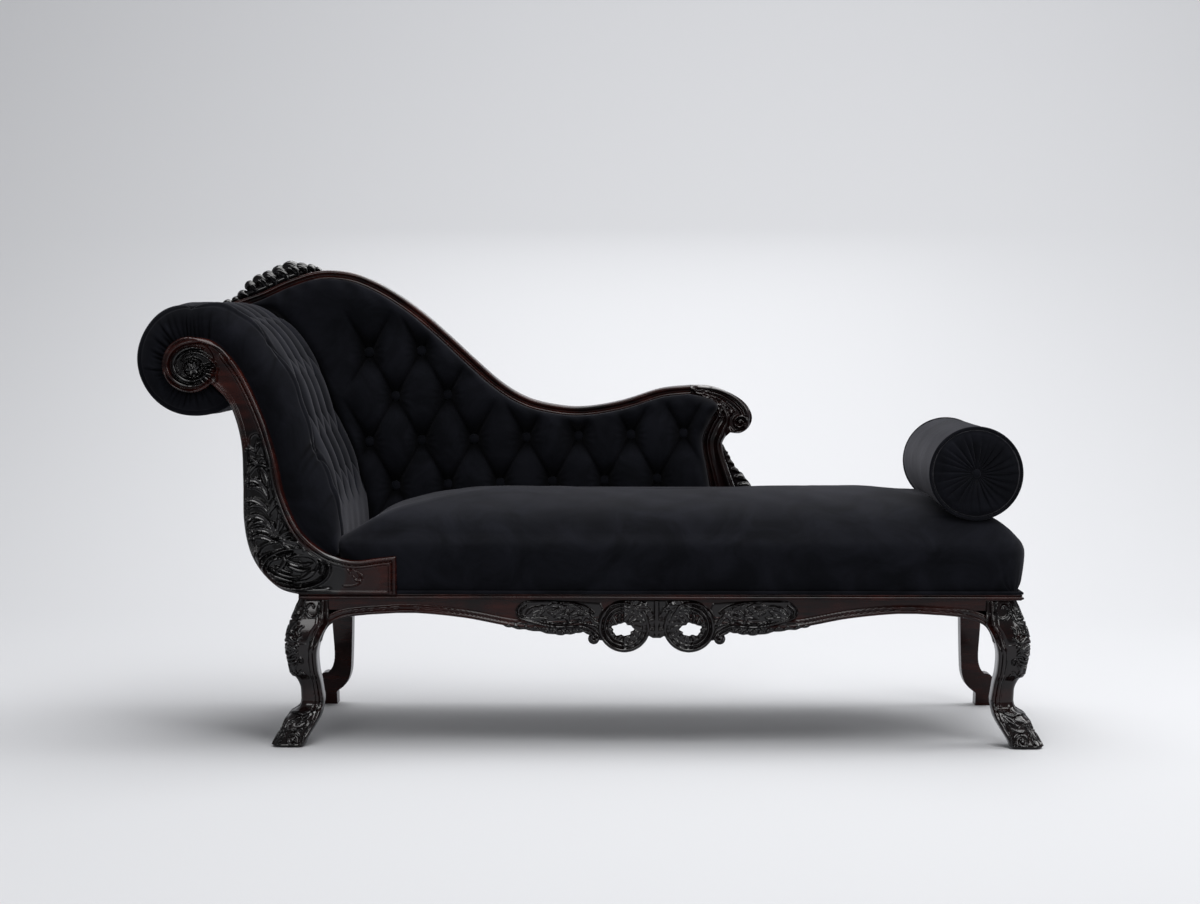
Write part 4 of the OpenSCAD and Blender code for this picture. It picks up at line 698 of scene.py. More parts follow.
        # a shallow sprig on the squared end
        made += [
            stroke(2, 3, (210, 268), (219, 272), (229, 267)),
            stroke(1.9, 3, (217, 261), (214, 270), (219, 281)),
            line(1.3, 2.4, (240, 280), (242.5, 290), (236, 299), (222, 303), (206, 303)),
            line(1.3, 2.4, (221, 271), (232, 275), (237, 285), (231, 293)),
            stroke(1.9, 3, (224, 283), (229, 290), (240, 292))]
        return made

    def ground(self):
        """Where the stain stays black round the carving"""
        return [
            cut([(-641, 592), (-640, 560)], 14, 1, "flat", 6),
            cut([(-640, 556), (-631, 495), (-604, 410)], 34, 1, "flat", 20),
            cut([(-645, 400), (-640, 520)], 26, 1, "flat", 8),
            cut([(-604, 380), (-563, 343), (-512, 330)], 52, 1, "flat", 10),
            cut([(-500, 326), (-430, 326)], 34, 0.3, "flat", 6)]


class COUCH_OT_apron(bpy.types.Operator):
    """Shapes the front apron with its double bead, and the pierced cartouche on it"""
    bl_idname = "couch.apron"
    bl_label = "Apron and cartouche"

    def execute(self, context):
        half = [(635.5, 232.9), (626, 238.5), (613.3, 244), (597.4, 248.2), (572, 251.1), (540.2, 253.5),
                (470.3, 255.8), (371.8, 246.4), (273.3, 228.7), (190.7, 227), (127.1, 234.6), (63.6, 240.5),
                (0, 241.7)]
        right = curve(half, 90)
        lower = np.vstack([np.stack([MIDDLE_X - right[:, 0], right[:, 1]], 1),
                           np.stack([MIDDLE_X + right[::-1, 0], right[::-1, 1]], 1)[1:]])
        loop = np.vstack([lower, [(768, 283), (-503, 283)]])
        holes = [self.hole(66.5, 224.5, 1), self.hole(198.5, 224.5, -1)]

        piece = carved_board("apron_beaded", [loop], holes, -249, 1.35, beaded_along(lower))
        dress(piece, "couch", "show_wood", "front_apron")

        strokes = self.strokes()
        strokes += mirrored(strokes, MIDDLE_X)
        strokes.append(cut([(MIDDLE_X, 281), (MIDDLE_X, 214)], 5.2, 10, "reed", 8))
        rings = [circle(*place, 51) for place in RINGS]
        knobs = [circle(x, 206.5, 11) for x in (10.5, 254.5)]
        panel = self.panel()
        loops = rings + knobs + [panel, np.stack([2 * MIDDLE_X - panel[:, 0], panel[:, 1]], 1)[::-1],
                                 np.array([(69.5, 282.7), (195.5, 282.7), (195.5, 240), (140, 208),
                                           (125, 208), (69.5, 240)])]

        def carving(x, z, edge):
            away = np.minimum(*[np.hypot(x - a, z - b) for a, b in RINGS])
            ring = np.maximum.reduce([bead_at(away, 46.5, 4.3, 9), bead_at(away, 37.5, 3.2, 7.5),
                                      bead_at(away, 30.5, 2.6, 6)])
            ring *= (z < 262) | (away < 44)
            shell = (2.5
                     + 3.5 * np.abs(np.sin((np.arctan2(z - 231, np.abs(x - MIDDLE_X) - 63)) * 9))
                     * (away < 60))
            ground = np.where(np.abs(x - MIDDLE_X) < 64, shell, 1.8)
            tall = np.maximum.reduce([ground, ring, carve(x, z, strokes)])
            return APRON_Y - np.minimum(tall, 9) * ease((edge + 1.4) / 3.4)

        piece = carved_board("apron_cartouche_carved", loops, holes, -272.8, 1.1, carving)
        mark(piece, "carved", 0.92)
        dress(piece, "couch", "show_wood", "apron_cartouche")
        return {"FINISHED"}

    def hole(self, x, z, side):
        """A pierced opening whose edge follows the leaf tips round it"""
        t = np.linspace(0, 2 * math.pi, 73)[:-1]
        r = 1 + 0.1 * np.sin(5 * t + 0.6) + 0.07 * np.sin(9 * t + 2) + 0.06 * np.cos(2 * t)
        return np.stack([x + side * 19 * r * np.cos(t), z + 12.6 * r * np.sin(t)], 1)

    def panel(self):
        """Outline of the left spray panel, with small leaf tips along its lower edge"""
        top = curve([(24, 276), (-40, 280), (-100, 281.5), (-128, 277), (-141, 262), (-136, 246),
                     (-120, 238)], 40)
        low = curve([(-120, 238), (-150, 236), (-165, 233), (-140, 227), (-100, 222), (-60, 215), (-30, 217),
                     (-8, 220), (8, 210), (30, 204)], 60)
        side = across(low)
        low = low - side * (2.2 * np.abs(np.sin(np.linspace(0, 13 * math.pi, 60))))[:, None]
        return np.vstack([top, low, [(40, 240)]])

    def strokes(self):
        made = [
            cut([(-128, 277), (-139, 266), (-137, 250), (-112, 240), (-64, 230), (-16, 231), (8, 222),
                 (20, 210), (14, 202), (6, 206)], 3, 8, count=60),
            cut([(-120, 270), (-130, 261), (-126, 250), (-100, 242), (-62, 236), (-18, 238), (16, 230),
                 (26, 212)], 1.9, 6, count=60),
            cut([(-124, 279), (-88, 280), (-40, 277), (-6, 268), (10, 256)], 2.2, 6.5, count=40)]
        # Leaf scrolls inside the spray
        for x, z, a, length, width, curl in [
                (-120, 252, 50, 30, 5, -50), (-118, 250, 20, 34, 5, -10), (-112, 247, -6, 34, 4.4, 14),
                (-84, 268, 190, 34, 5.4, 46), (-84, 266, 214, 26, 4.6, 60), (-80, 262, 330, 30, 5.4, 60),
                (-76, 270, 10, 34, 5, -40), (-70, 250, 60, 26, 5, -70), (-66, 246, 20, 30, 4.8, -40),
                (-42, 268, 200, 24, 4.8, 60), (-40, 262, 250, 24, 4.8, 70), (-34, 270, -20, 34, 5, -30),
                (-34, 252, 40, 24, 4.6, -70), (-30, 246, 6, 32, 4.6, 10), (-8, 262, -60, 28, 4.8, 40),
                (-2, 254, 100, 20, 4.6, 60), (-12, 240, 70, 24, 4.4, -60), (4, 244, -40, 24, 4.4, 50)]:
            made.append(leaf(x, z, a, length, width, curl, 7.6))
        # Small acanthus leaves that hang along the lower edge
        low = curve([(-160, 234), (-120, 231), (-84, 227), (-50, 222), (-20, 225), (0, 219)], 12)
        for k, (x, z) in enumerate(low):
            made.append(leaf(x, z, -28 - 5 * (k % 3), 17, 4.4, -52, 6.4))
        # Leaves round the opening, and the scroll of the knob
        for k in range(13):
            a = 20 + 27.7 * k
            x, z = 69.5 + 33 * math.cos(math.radians(a)), 229 + 28 * math.sin(math.radians(a))
            made.append(leaf(x, z, a + 150, 19, 4.4, 46, 8))
        made.append(cut(curl_line(10.5, 206.5, 40, 1.5, 8.6, 2), 2.3, 9, count=30))
        # C-scroll over the ring and the leaf that joins it to the bar
        made += [
            cut([(30, 250), (42, 270), (66, 276), (88, 270), (96, 258)], 3, 8.5, count=30),
            leaf(76, 262, 20, 44, 6, -36, 8), leaf(84, 256, -14, 38, 5.4, -40, 8),
            leaf(100, 276, -100, 48, 5.4, 22, 7.5), leaf(112, 277, -95, 54, 4.6, 14, 8)]
        return made


class COUCH_OT_mouldings(bpy.types.Operator):
    """Runs the bead-and-cove moulding round the seat frame, with mitred corners"""
    bl_idname = "couch.mouldings"
    bl_label = "Seat moulding"

    def execute(self, context):
        section = [(0, 283), (9.5, 283), (10.6, 284.6)]
        section += [(11.2 + 2.8 * math.cos(a), 287.4 + 2.6 * math.sin(a))
                    for a in np.radians(np.linspace(-80, 80, 9))]
        section += [(10.2, 290.3), (9.4, 290.8)]
        section += [(9.6 + 1.8 * math.cos(a), 292.4 + 1.6 * math.sin(a))
                    for a in np.radians(np.linspace(-60, 90, 7))]
        section = np.array(section + [(0, 294)])
        piece = mitred_run("seat_moulding_run", section)
        dress(piece, "couch", "show_wood", "seat_moulding")
        return {"FINISHED"}


class COUCH_OT_crest(bpy.types.Operator):
    """Draws the moulded crest rail and carves the leaf scrolls at its high end"""
    bl_idname = "couch.crest"
    bl_label = "Crest rail and carving"

    def execute(self, context):
        centre = CREST - across(CREST) * 10
        bead = [(4.6 + 4.6 * math.sin(a), 266.6 - 4.6 * math.cos(a))
                for a in np.radians(np.linspace(-50, 110, 12))]
        low = [(-7.6 + 2.3 * math.sin(a), 264.3 - 2.3 * math.cos(a))
               for a in np.radians(np.linspace(-120, 50, 9))]
        cove = [(-4.3, 264.6), (-2.6, 266.2), (-0.6, 266.2)]
        section = low + cove + bead + [(9.8, 276), (10, 286), (9.8, 297), (8.4, 304), (5, 308.6), (0, 309.8),
                                       (-6, 309.4), (-9.4, 306), (-10, 296), (-10, 272)]
        piece = ribbon("crest_rail_moulded", centre, section)
        dress(piece, "couch", "show_wood", "crest_rail")
        self.carving()
        return {"FINISHED"}

    def carving(self):
        """Fat leaf scrolls that roll over one another like breaking waves, tallest near the right end"""
        lobes = [((-704, 886), (-704, 899), (-710, 908), (-719, 910), (-725, 901), 12),
                 ((-684, 893), (-684, 906), (-690, 915), (-699, 917), (-706, 908), 12.5),
                 ((-660, 902), (-660, 917), (-667, 926), (-677, 927), (-684, 917), 13),
                 ((-637, 911), (-637, 926), (-644, 935), (-655, 936), (-662, 925), 13.5),
                 ((-616, 919), (-617, 930), (-623, 936), (-633, 935), (-638, 926), 10.5),
                 ((-598, 924), (-599, 932), (-603, 937), (-609, 937), (-613, 930), 6.5),
                 ((-586, 927), (-587, 932), (-590, 935), (-592, 934), (-595, 930), 4.5),
                 ((-724, 877), (-725, 889), (-731, 898), (-738, 899), (-743, 889), 9.5),
                 ((-741, 870), (-744, 878), (-750, 881), (-756, 879), (-760, 872), 7.5),
                 ((-757, 863), (-760, 868), (-765, 870), (-770, 869), (-773, 864), 5.5),
                 ((-771, 859), (-776, 863), (-782, 865), (-789, 863), (-794, 859), 4.5)]
        made = []
        for k, (*path, size) in enumerate(lobes):
            made.append(self.lobe(path, size, 13, 286, k))
            # The lip of each leaf turns over in a thinner roll on its right
            lip = [(x + 0.5 * size, z + 0.04 * size) for x, z in path[:4]]
            made.append(self.lobe(lip, 0.3 * size, 9, 277.5, k + 20))
        rail = CREST + across(CREST) * 6
        made.append(self.lobe(even(rail[(CREST[:, 0] < -592) & (CREST[:, 0] > -772)], 60), 9.5, 12.6, 286, 40,
                              0))
        piece = join(made, "crest_carving_leaves")
        mark(piece, "carved", 1.0)
        dress(piece, "couch", "show_wood", "crest_carving")

    def lobe(self, path, size, deep, middle, seed, veins=1.0):
        """One leaf scroll: a fat roll along a path, veined lengthways, that rounds off at both ends"""
        piece, u, v = sheet("lobe", 30, 40)
        line = curve(path, 61)
        side = across(line)
        k = np.rint(u * 60).astype(int)
        a = v * 2 * math.pi
        swell = (np.sqrt(np.clip(1 - (2 * u - 1) ** 6, 0, 1))
                 * (0.78 + 0.3 * np.sin(math.pi * np.clip(u, 0, 1))))
        vein = 1 + veins * 0.13 * np.abs(np.cos(3 * a + 1.6 * u + seed)) * np.sin(math.pi * u)
        out, y = size * swell * vein * np.cos(a), deep * np.clip(swell, 0, 1) * vein * np.sin(a)
        shape(piece, line[k, 0] + side[k, 0] * out, np.clip(middle + y, 263.5, 308.5),
              line[k, 1] + side[k, 1] * out)
        return close_up(piece, 0.05)


class COUCH_OT_tail(bpy.types.Operator):
    """Carves the scroll that ends the back: reeded stem, leaf knot, volute, and the leaf behind it"""
    bl_idname = "couch.tail"
    bl_label = "Tail scroll"

    def execute(self, context):
        top = curve([(205.3, 687), (248, 685), (291, 670), (322, 649), (337, 622), (331, 598), (311, 584.5),
                     (291, 586)], 50)
        stem = curve([(281, 577), (274, 561), (279, 532), (292, 493), (311, 442), (333, 384), (356, 332)], 40)
        inner = curve([(272, 332), (261, 384), (249, 448), (239.5, 500), (229.5, 551), (231, 582),
                       (244, 612), (261, 632), (260, 648), (237, 659), (206.6, 666.5)], 60)
        loop = np.vstack([top, stem, [(356, 330.2), (272, 330.2)], inner])
        eye = (311.5, 607.0)
        spine = (inner[:46],
                 np.vstack([curve([(258, 652), (281, 636), (292, 612), (284, 588), (281, 577)], 20), stem]))
        strokes = [
            cut(curl_line(*eye, -110, 1.7, 20.5, 4), 3.4, 9, count=60),
            cut([(eye[0] - .1, eye[1]), (eye[0] + .1, eye[1])], 4.5, 10, count=3),
            # ribs over the top, running into the volute
            cut([(222, 682), (262, 677), (296, 662), (321, 640), (329, 618), (322, 598)], 3.6, 7.5, count=50),
            cut([(228, 675), (262, 668), (288, 655), (310, 636), (318, 620)], 3, 6.5, count=50),
            cut([(236, 668), (262, 660), (282, 647), (298, 631)], 2.6, 6, count=40)]
        # Leaf knot where the rail meets the scroll
        for x, z, a, length, width, curl in [
                (214, 676, 20, 24, 5, -40), (214, 676, -30, 26, 5, 50), (212, 678, 160, 14, 4.4, 60),
                (226, 671, 10, 28, 5.4, 40), (228, 670, -40, 26, 5, 60), (238, 664, -12, 30, 5.4, -50),
                (246, 656, -50, 28, 5, 50), (256, 650, -20, 26, 5, 60), (262, 640, -80, 26, 5, 40),
                (266, 650, -30, 24, 5, -50), (268, 644, -95, 22, 5, 40), (284, 646, 215, 28, 5.4, 40),
                (296, 636, 225, 26, 5, 40)]:
            strokes.append(leaf(x, z, a, length, width, curl, 8.5))

        def surface(x, z, edge):
            inside = nearest(x, z, spine[0])
            outside = nearest(x, z, spine[1])
            share = inside[0] / np.maximum(inside[0] + outside[0], 1)
            reeds = np.interp(share,
                              (0, .03, .09, .15, .18, .22, .3, .37, .41, .5, .6, .66, .72, .8, .88, .95, 1),
                              (0, 4, 5.6, 4, 1, 4.6, 7, 4.6, 1.2, 0.8, 1.6, 3.4, 7, 8.6, 7.4, 4, 0))
            stem_here = ease((642 - z) / 14) * (x < 296 + np.maximum(577 - z, 0))
            stem_here *= ease((np.hypot(x - eye[0], z - eye[1]) - 22) / 4)
            tall = np.maximum(carve(x, z, strokes), reeds * stem_here)
            return 262 - np.minimum(tall, 10) + rounded_edge(edge, 3)

        piece = carved_board("tail_scroll_carved", [loop], [], 309, 1.1, surface)
        mark(piece, "carved", 0.65)
        dress(piece, "couch", "show_wood", "tail_scroll")

        outer = curve([(283.5, 545), (289, 533), (303, 509), (319, 493), (344, 457), (373, 415), (400, 368),
                       (417, 332)], 60)
        tips = across(outer) * (2.4 * np.abs(np.sin(np.linspace(0, 11 * math.pi, 60))))[:, None]
        back = stem[::-1][:34] + [0.6, 0]
        leaf_loop = np.vstack([outer + tips, [(417, 330.2), (357, 330.2)], back])
        feathers = []
        for k, (x, z) in enumerate(curve([(284, 540), (296, 500), (318, 450), (346, 392), (372, 340)], 13)):
            feathers.append(leaf(x, z + 6, 8 - 1.5 * k, 22 + 2.2 * k, 5.2, -34, 6))

        def frond(x, z, edge):
            return 272 - carve(x, z, feathers) + rounded_edge(edge, 2.5)

        piece = carved_board("tail_leaf_carved", [leaf_loop], [], 301, 1.5, frond)
        mark(piece, "carved", 0.9)
        dress(piece, "couch", "show_wood", "tail_leaf")
        return {"FINISHED"}


HEAD_CROWN = [(-768.1, 861), (-707, 859), (-636, 816), (-573, 724), (-535, 620), (-498, 528), (-480.5, 455),
              (-474.5, 383)]
HEAD_UNDER = [(-768, 783.6), (-722, 773.5), (-677, 721), (-636, 638), (-612, 561), (-595.5, 483),
              (-563.5, 413), (-513, 369), (-488, 367.5)]
ROLL, ROLL_R = (-764.5, 748.5), 113.5
HEAD_FRONT, HEAD_REAR, HEAD_MIDDLE, HEAD_HALF = -273.2, 260.2, -6.5, 266.7
HEAD_COLUMNS, ROW_STATIONS = 5, 4.2     # diamonds across the crown, and stations from row to row
TUFTED_WIDE = 523                       # mm across the crown that the diamonds take


def head_lines(i):
    """Crown and underside of the head pad at a station from 0, under the roll, to 42, at the seat."""
    angle = np.radians(-50 - 212 * np.clip(i, 0, 15) / 15)
    turn = np.stack([np.cos(angle), np.sin(angle)], -1)
    crown = smooth(HEAD_CROWN, (i - 16) / 26)
    under = smooth(HEAD_UNDER, (i - 16) / 26)
    mix = np.clip(i - 15, 0, 1)[..., None]
    roll_crown = np.array(ROLL) + ROLL_R * turn
    roll_under = np.array(VOLUTE) + 46.9 * turn
    return roll_crown * (1 - mix) + crown * mix, roll_under * (1 - mix) + under * mix


def head_button_places():
    """Row and column of each button on the crown: five and four by turns, each row half a diamond over."""
    return [(row, k + (0.5 if row % 2 else 1)) for row in range(1, 5)
            for k in range(HEAD_COLUMNS - 1 + row % 2)]


def pillow(a, b, depth, near, crease=1.0):
    """Depth of diamond tufting below its pillows. a and b count folds along both diagonals."""
    fa, fb = np.abs(np.sin(math.pi * a)), np.abs(np.sin(math.pi * b))
    swell = (fa * fb) ** 0.48
    fold = np.minimum(fa, fb)
    # The velvet is folded under along each line between buttons, so the line is a narrow slot with a soft lip
    slot = np.exp(-(fold / 0.07) ** 2) * crease
    return depth * ((1 - swell) * (0.42 + 0.58 * near) + 0.24 * slot * (1 - near))


class COUCH_OT_head(bpy.types.Operator):
    """Stuffs the head: a velvet roll with buttoned diamonds on the crown and pleated ends"""
    bl_idname = "couch.head"
    bl_label = "Head upholstery"

    def execute(self, context):
        tuft = context.scene.couch_sizes.head_tuft / MM
        front, rear, round_r = HEAD_FRONT, HEAD_REAR, 13.0
        # Stations round the section: front border, crown, rear border, underside
        parts = [("front", np.linspace(0, 1, 30)), ("turn", np.linspace(0, 1, 8)[1:-1]),
                 ("crown", np.linspace(0, 1, 150)), ("back", np.linspace(0, 1, 8)[1:-1]),
                 ("rear", np.linspace(1, 0, 16)), ("under", np.linspace(0, 1, 6)[1:-1])]
        kinds = np.concatenate([[p[0]] * len(p[1]) for p in parts])
        where = np.concatenate([p[1] for p in parts])
        m, n = len(where), 330
        piece, u, v = sheet("head_velvet", n + 1, m)
        row = np.rint(u * (n + 1)).astype(int)
        cap = (row == 0) | (row == n + 1)
        i = np.clip(row - 1, 0, n - 1) / (n - 1) * 42
        j = np.rint(v * m).astype(int) % m
        kind, t = kinds[j], where[j]
        crown, under = head_lines(i)
        reach = np.hypot(*(crown - under).T)
        out = (crown - under) / reach[:, None]
        turn = np.where(kind == "turn", t, np.where(kind == "back", 1 - t, 0)) * math.pi / 2
        border, bend = (kind == "front") | (kind == "rear"), (kind == "turn") | (kind == "back")
        r = np.select([border, kind == "under"], [t * (reach - round_r), 0 * t], reach)
        r = np.where(bend, reach - round_r * (1 - np.sin(turn)), r)
        y = np.select([kind == "front", kind == "rear", kind == "turn", kind == "back"],
                      [0 * t + front, 0 * t + rear, front + round_r * (1 - np.cos(turn)),
                       rear - round_r * (1 - np.cos(turn))],
                      front + round_r + t * (rear - front - 2 * round_r))
        y = np.where(kind == "under", rear - t * (rear - front), y)
        face = np.where(y < 0, -1.0, 1.0)
        # The border swells between the wood and the ridge, and is pleated where it turns round the roll
        share = np.clip(r / reach, 0, 1)
        swell = np.where(border, 8.5 * np.sin(math.pi * np.clip((share - 0.12) / 0.88, 0, 1)) ** 0.8, 0)
        near_roll = ease((19.5 - i) / 4)
        rng = np.random.default_rng(11)
        pleat = np.zeros(len(i))
        for k in range(30):
            at = 0.4 + k * 0.62 + rng.uniform(-0.16, 0.16)
            wide, deep, far = rng.uniform(0.1, 0.17), rng.uniform(2, 5.4), rng.uniform(0.5, 0.95)
            bent = i - at + (share - 0.3) * rng.uniform(-0.5, 0.5)
            groove = np.exp(-(bent / wide) ** 2) - 0.5 * np.exp(-((bent - 1.7 * wide) / wide) ** 2)
            pleat += deep * groove * ease((far - share) / 0.45) * ease(share / 0.1)
        for at, deep in ((20.2, 2), (25.3, 3), (31.5, 6), (32.2, 4.5), (32.9, 3), (36, 3)):
            groove = np.exp(-((i - at - 0.6 * (1 - share)) / 0.2) ** 2)
            pleat += deep * groove * ease((share - 0.35) / 0.6) * (1 - near_roll)
        swell -= pleat * np.where(border | bend, 1, 0) * np.where(border, 1, 0.6)
        # Buttoned diamonds on the crown
        w = np.clip((y - front) / (rear - front), 0, 1)
        rows, column = (i - 16) / ROW_STATIONS, HEAD_COLUMNS * w
        half_rows = (i - 16) / (2 * ROW_STATIONS)
        a, b = column + half_rows, column - half_rows
        near = np.full(len(i), 99.0)
        for row_here, c in head_button_places():
            near = np.minimum(near, np.hypot((column - c) * 105, (rows - row_here) * 88))
        near = np.exp(-(near / 34) ** 2)
        on = ease((rows + 0.9) / 0.9) * ease((5.4 - rows) / 0.8)
        down = pillow(a, b, tuft * 1.06, near) * on
        down *= ease((w * TUFTED_WIDE + 23) / 46) * ease(((1 - w) * TUFTED_WIDE + 23) / 46)
        # Over the roll the velvet only pulls in soft waves
        down += (1 - on) * (1 + np.sin(2 * math.pi * HEAD_COLUMNS * w + 1)) * (kind == "crown")
        puff = 1.4 * ripple(crown[:, 0], y, crown[:, 1], 5, 130)
        # The ridge is drawn in where a fold runs out over it
        drawn = sum(deep * np.exp(-((i - at) / 0.85) ** 2)
                    for at, deep in ((21.4, 3), (25.3, 5), (28.9, 5), (31.9, 10), (35.4, 4), (38.6, 3)))
        down += drawn * np.exp(-(w * TUFTED_WIDE / 42) ** 2)
        top = (kind == "crown") | bend
        r = r - np.where(top, down + 1.2 - puff, down * share ** 4 * border)
        xz = under + out * r[:, None]
        y = y + face * swell + np.where(border, 0.8 * ripple(xz[:, 0], y, xz[:, 1], 6, 70), 0)
        # The front border rolls back towards the ridge, so the crown is narrower than the frame
        y = np.where(top, y - np.minimum(y - HEAD_MIDDLE, 0) / HEAD_HALF * self.draw_in(i),
                     y + self.draw_in(i) * np.clip((t - 0.4) / 0.6, 0, 1) ** 2 * (kind == "front"))
        middle = (crown + under) / 2
        x, z = np.where(cap, middle[:, 0], xz[:, 0]), np.where(cap, middle[:, 1], xz[:, 1])
        y = np.where(cap, (front + rear) / 2, y)
        shape(piece, x, y, z)
        # Painted shade: the 'fold' mark blackens the velvet's colour in the deep tufts of the crown and in
        # the pleats of the border
        mark(piece, "fold", 0.8 * np.clip((down - 0.24 * tuft) / (0.6 * tuft), 0, 1) * top
             + np.clip(pleat / 6, 0, 0.7) * border)
        close_up(piece)
        dress(piece, "couch", "velvet", "head_pad", "head_border_front", "head_border_rear")
        self.buttons(tuft, context.scene.couch_sizes.button / MM)
        return {"FINISHED"}

    def draw_in(self, i):
        """How far the front of the crown is drawn in at a station, in mm"""
        return 9 + 17 * ease((np.asarray(i) - 17) / 7)

    def buttons(self, tuft, size):
        made = []
        for row, column in head_button_places():
            i = np.array([16 + ROW_STATIONS * row])
            crown, under = head_lines(i)
            out = (crown - under)[0] / np.hypot(*(crown - under)[0])
            foot = crown[0] - out * (tuft + 1.5)
            y = TUFTED_WIDE * (column / HEAD_COLUMNS) - 268
            y -= min(y - HEAD_MIDDLE, 0) / HEAD_HALF * self.draw_in(i[0])
            made.append(button((foot[0], y, foot[1]), (out[0], 0, out[1]), size))
        join(made, "head_buttons_velvet")
        dress(made[0], "couch", "velvet", "head_buttons")


def button(place, out, size):
    """A covered button: a domed disc whose velvet is drawn in at its rim"""
    piece, u, v = sheet("button", 8, 20)
    ring = np.rint(u * 8).astype(int)
    radius = np.array([0, 0.35, 0.66, 0.88, 1, 1, 0.85, 0.5, 0])[ring] * size / 2
    tall = np.array([5.2, 5, 4.2, 3, 1.4, -0.5, -2, -2.6, -2.6])[ring]
    angle = v * 2 * math.pi
    a = Vector(out).normalized()
    b = a.orthogonal().normalized()
    c = a.cross(b)
    p = (np.array(place)[None] + tall[:, None] * np.array(a) + (radius * np.cos(angle))[:, None] * np.array(b)
         + (radius * np.sin(angle))[:, None] * np.array(c))
    shape(piece, *p.T)
    return close_up(piece)


def join(pieces, name):
    """Makes one piece of many like ones, each still its own closed shell"""
    clear_selection()
    for piece in pieces:
        piece.select_set(True)
    bpy.context.view_layer.objects.active = pieces[0]
    bpy.ops.object.join()
    pieces[0].name = pieces[0].data.name = name
    return pieces[0]


BACK_LEFT = [(-478.5, 345.5), (-481.5, 383), (-489, 455), (-508, 528), (-547, 620), (-587, 724), (-646, 812),
             (-695, 848), (-741, 848)]
BACK_RIGHT = [(273.5, 345.5), (256.5, 418.8), (241, 503.8), (231, 571.2), (248, 614), (264, 641), (253, 655),
              (231, 662.5), (206.3, 667.6)]
BACK_BUTTONS = [(6, 0), (7, 1), (2, 2), (2, 3)]     # how many in each row, from the seat up
BACK_X, BACK_Z, BACK_WIDE, BACK_TALL = -420, 474, 111, 95


def back_button_places():
    """Where the buttons of the back sit: rows that rise a little to the right, every other one half over."""
    return [(BACK_X + (k - 0.5 * (row % 2)) * BACK_WIDE,
             BACK_Z + BACK_TALL * row + 3 * (k - 0.5 * (row % 2)))
            for count, row in BACK_BUTTONS for k in range(count)]


class COUCH_OT_back(bpy.types.Operator):
    """Stuffs the back: deep buttoned velvet diamonds under the crest"""
    bl_idname = "couch.back"
    bl_label = "Back upholstery"

    def execute(self, context):
        tuft = context.scene.couch_sizes.back_tuft / MM
        under = CREST - across(CREST) * 19.2
        under = under[(CREST[:, 0] > -738)]
        left = curve(BACK_LEFT, 60)
        right = curve(BACK_RIGHT, 50)
        loop = np.vstack([left, under, right[::-1], [(0, 345.5)]])
        places = np.array(back_button_places())

        def surface(x, z, edge):
            a0, b0 = (x - BACK_X) / BACK_WIDE, (z - BACK_Z - 0.027 * (x - BACK_X)) / BACK_TALL
            a, b = a0 + b0 / 2, a0 - b0 / 2
            from_all = np.hypot(x[:, None] - places[None, :, 0], z[:, None] - places[None, :, 1])
            far, k = from_all.min(1), from_all.argmin(1)
            near = np.exp(-(far / 36) ** 2)
            on = ease(1.75 - far / 66)
            down = pillow(a, b, tuft, near) * on
            # A pit round each button, short double pleats that run out from it, and finer gathers between
            dx, dz = x - places[k, 0], z - places[k, 1]
            down += 7 * np.exp(-(far / 13) ** 2)
            for side, reach in ((60, 46), (-46, 52), (122, 38), (-128, 44)):
                a = math.radians(side)
                run, off = dx * math.cos(a) + dz * math.sin(a), dz * math.cos(a) - dx * math.sin(a)
                off = off + 1.5 * np.sin(run / 11 + k)
                here = ease(run / 8) * ease((reach - run) / 22)
                down += here * (3.2 * np.exp(-((off - 2.4) / 1.7) ** 2) + 2.4
                                * np.exp(-((off + 2.6) / 1.7) ** 2)
                                - 1.4 * np.exp(-(off / 1.6) ** 2))
            down += 1.2 * np.sin(13 * np.arctan2(dz, dx) + 2.3 * k) * np.exp(-((far - 20) / 12) ** 2)
            # Tacked edges: the velvet dips to the rail, with small pleats
            rim = np.clip(edge / 26, 0, 1)
            from_rail = nearest(x, z, under)[0]
            roll = (10 + 20 * ease(from_rail / 40)) * (1 - np.sqrt(np.maximum(0, 1 - (1 - rim) ** 2)))
            tuck = 1.5 * np.sin((x + 0.6 * z) / 7.5) * np.exp(-(edge / 18) ** 2)
            puff = 3.2 * ripple(x, 0 * x, z, 21, 210) * ease(edge / 60)
            return np.clip(207 + down * ease((edge - 3) / 26) + roll + tuck - puff, 201.5, 258)

        piece = carved_board("back_velvet", [loop], [], 261.6, 2.7, surface)
        bpy.ops.object.shade_smooth()
        # Painted shade: the 'fold' mark blackens the velvet's colour the further back it lies, down in the
        # tufts and at the rolled edges
        mark(piece, "fold", 0.9 * np.clip((coordinates(piece)[:, 1] - 211) / 15, 0, 1))
        dress(piece, "couch", "velvet", "back_pad")
        size = context.scene.couch_sizes.button / MM
        made = [button((x, 205 + tuft + 1.5, z), (0, -1, 0), size) for x, z in places]
        join(made, "back_buttons_velvet")
        dress(made[0], "couch", "velvet", "back_buttons")
        return {"FINISHED"}


def seat_rear(x):
    """Rear edge of the seat, which steps back past the back pad and again past the tail leaf"""
    return 183.4 + 57 * ease((x - 282.8) / 44) + 59.6 * ease((x - 427.9) / 44)


SEAT_ROWS = [(0.28, 0), (0.28, 0.036), (0.7, 0.14), (1, 0.36), (0.86, 0.48), (0.25, 0.57), (-0.6, 0.66),
             (-1.7, 0.745), (-3.4, 0.825), (-5.8, 0.895), (-8.6, 0.95), (-11.2, 0.985), (-13, 1)]
SEAT_CORNER = [0.4, 0.4, 1, 1.4, 1.4, 1.1, 0.73, 0.5, 0.45, 0.4, 0.4, 0.4, 0.4]
SEAT_LEFT, SEAT_HALF = -454.7, 287.5
BOLSTER, BOLSTER_R, BOLSTER_Y = (751.0, 527.0), 90.5, 12.5


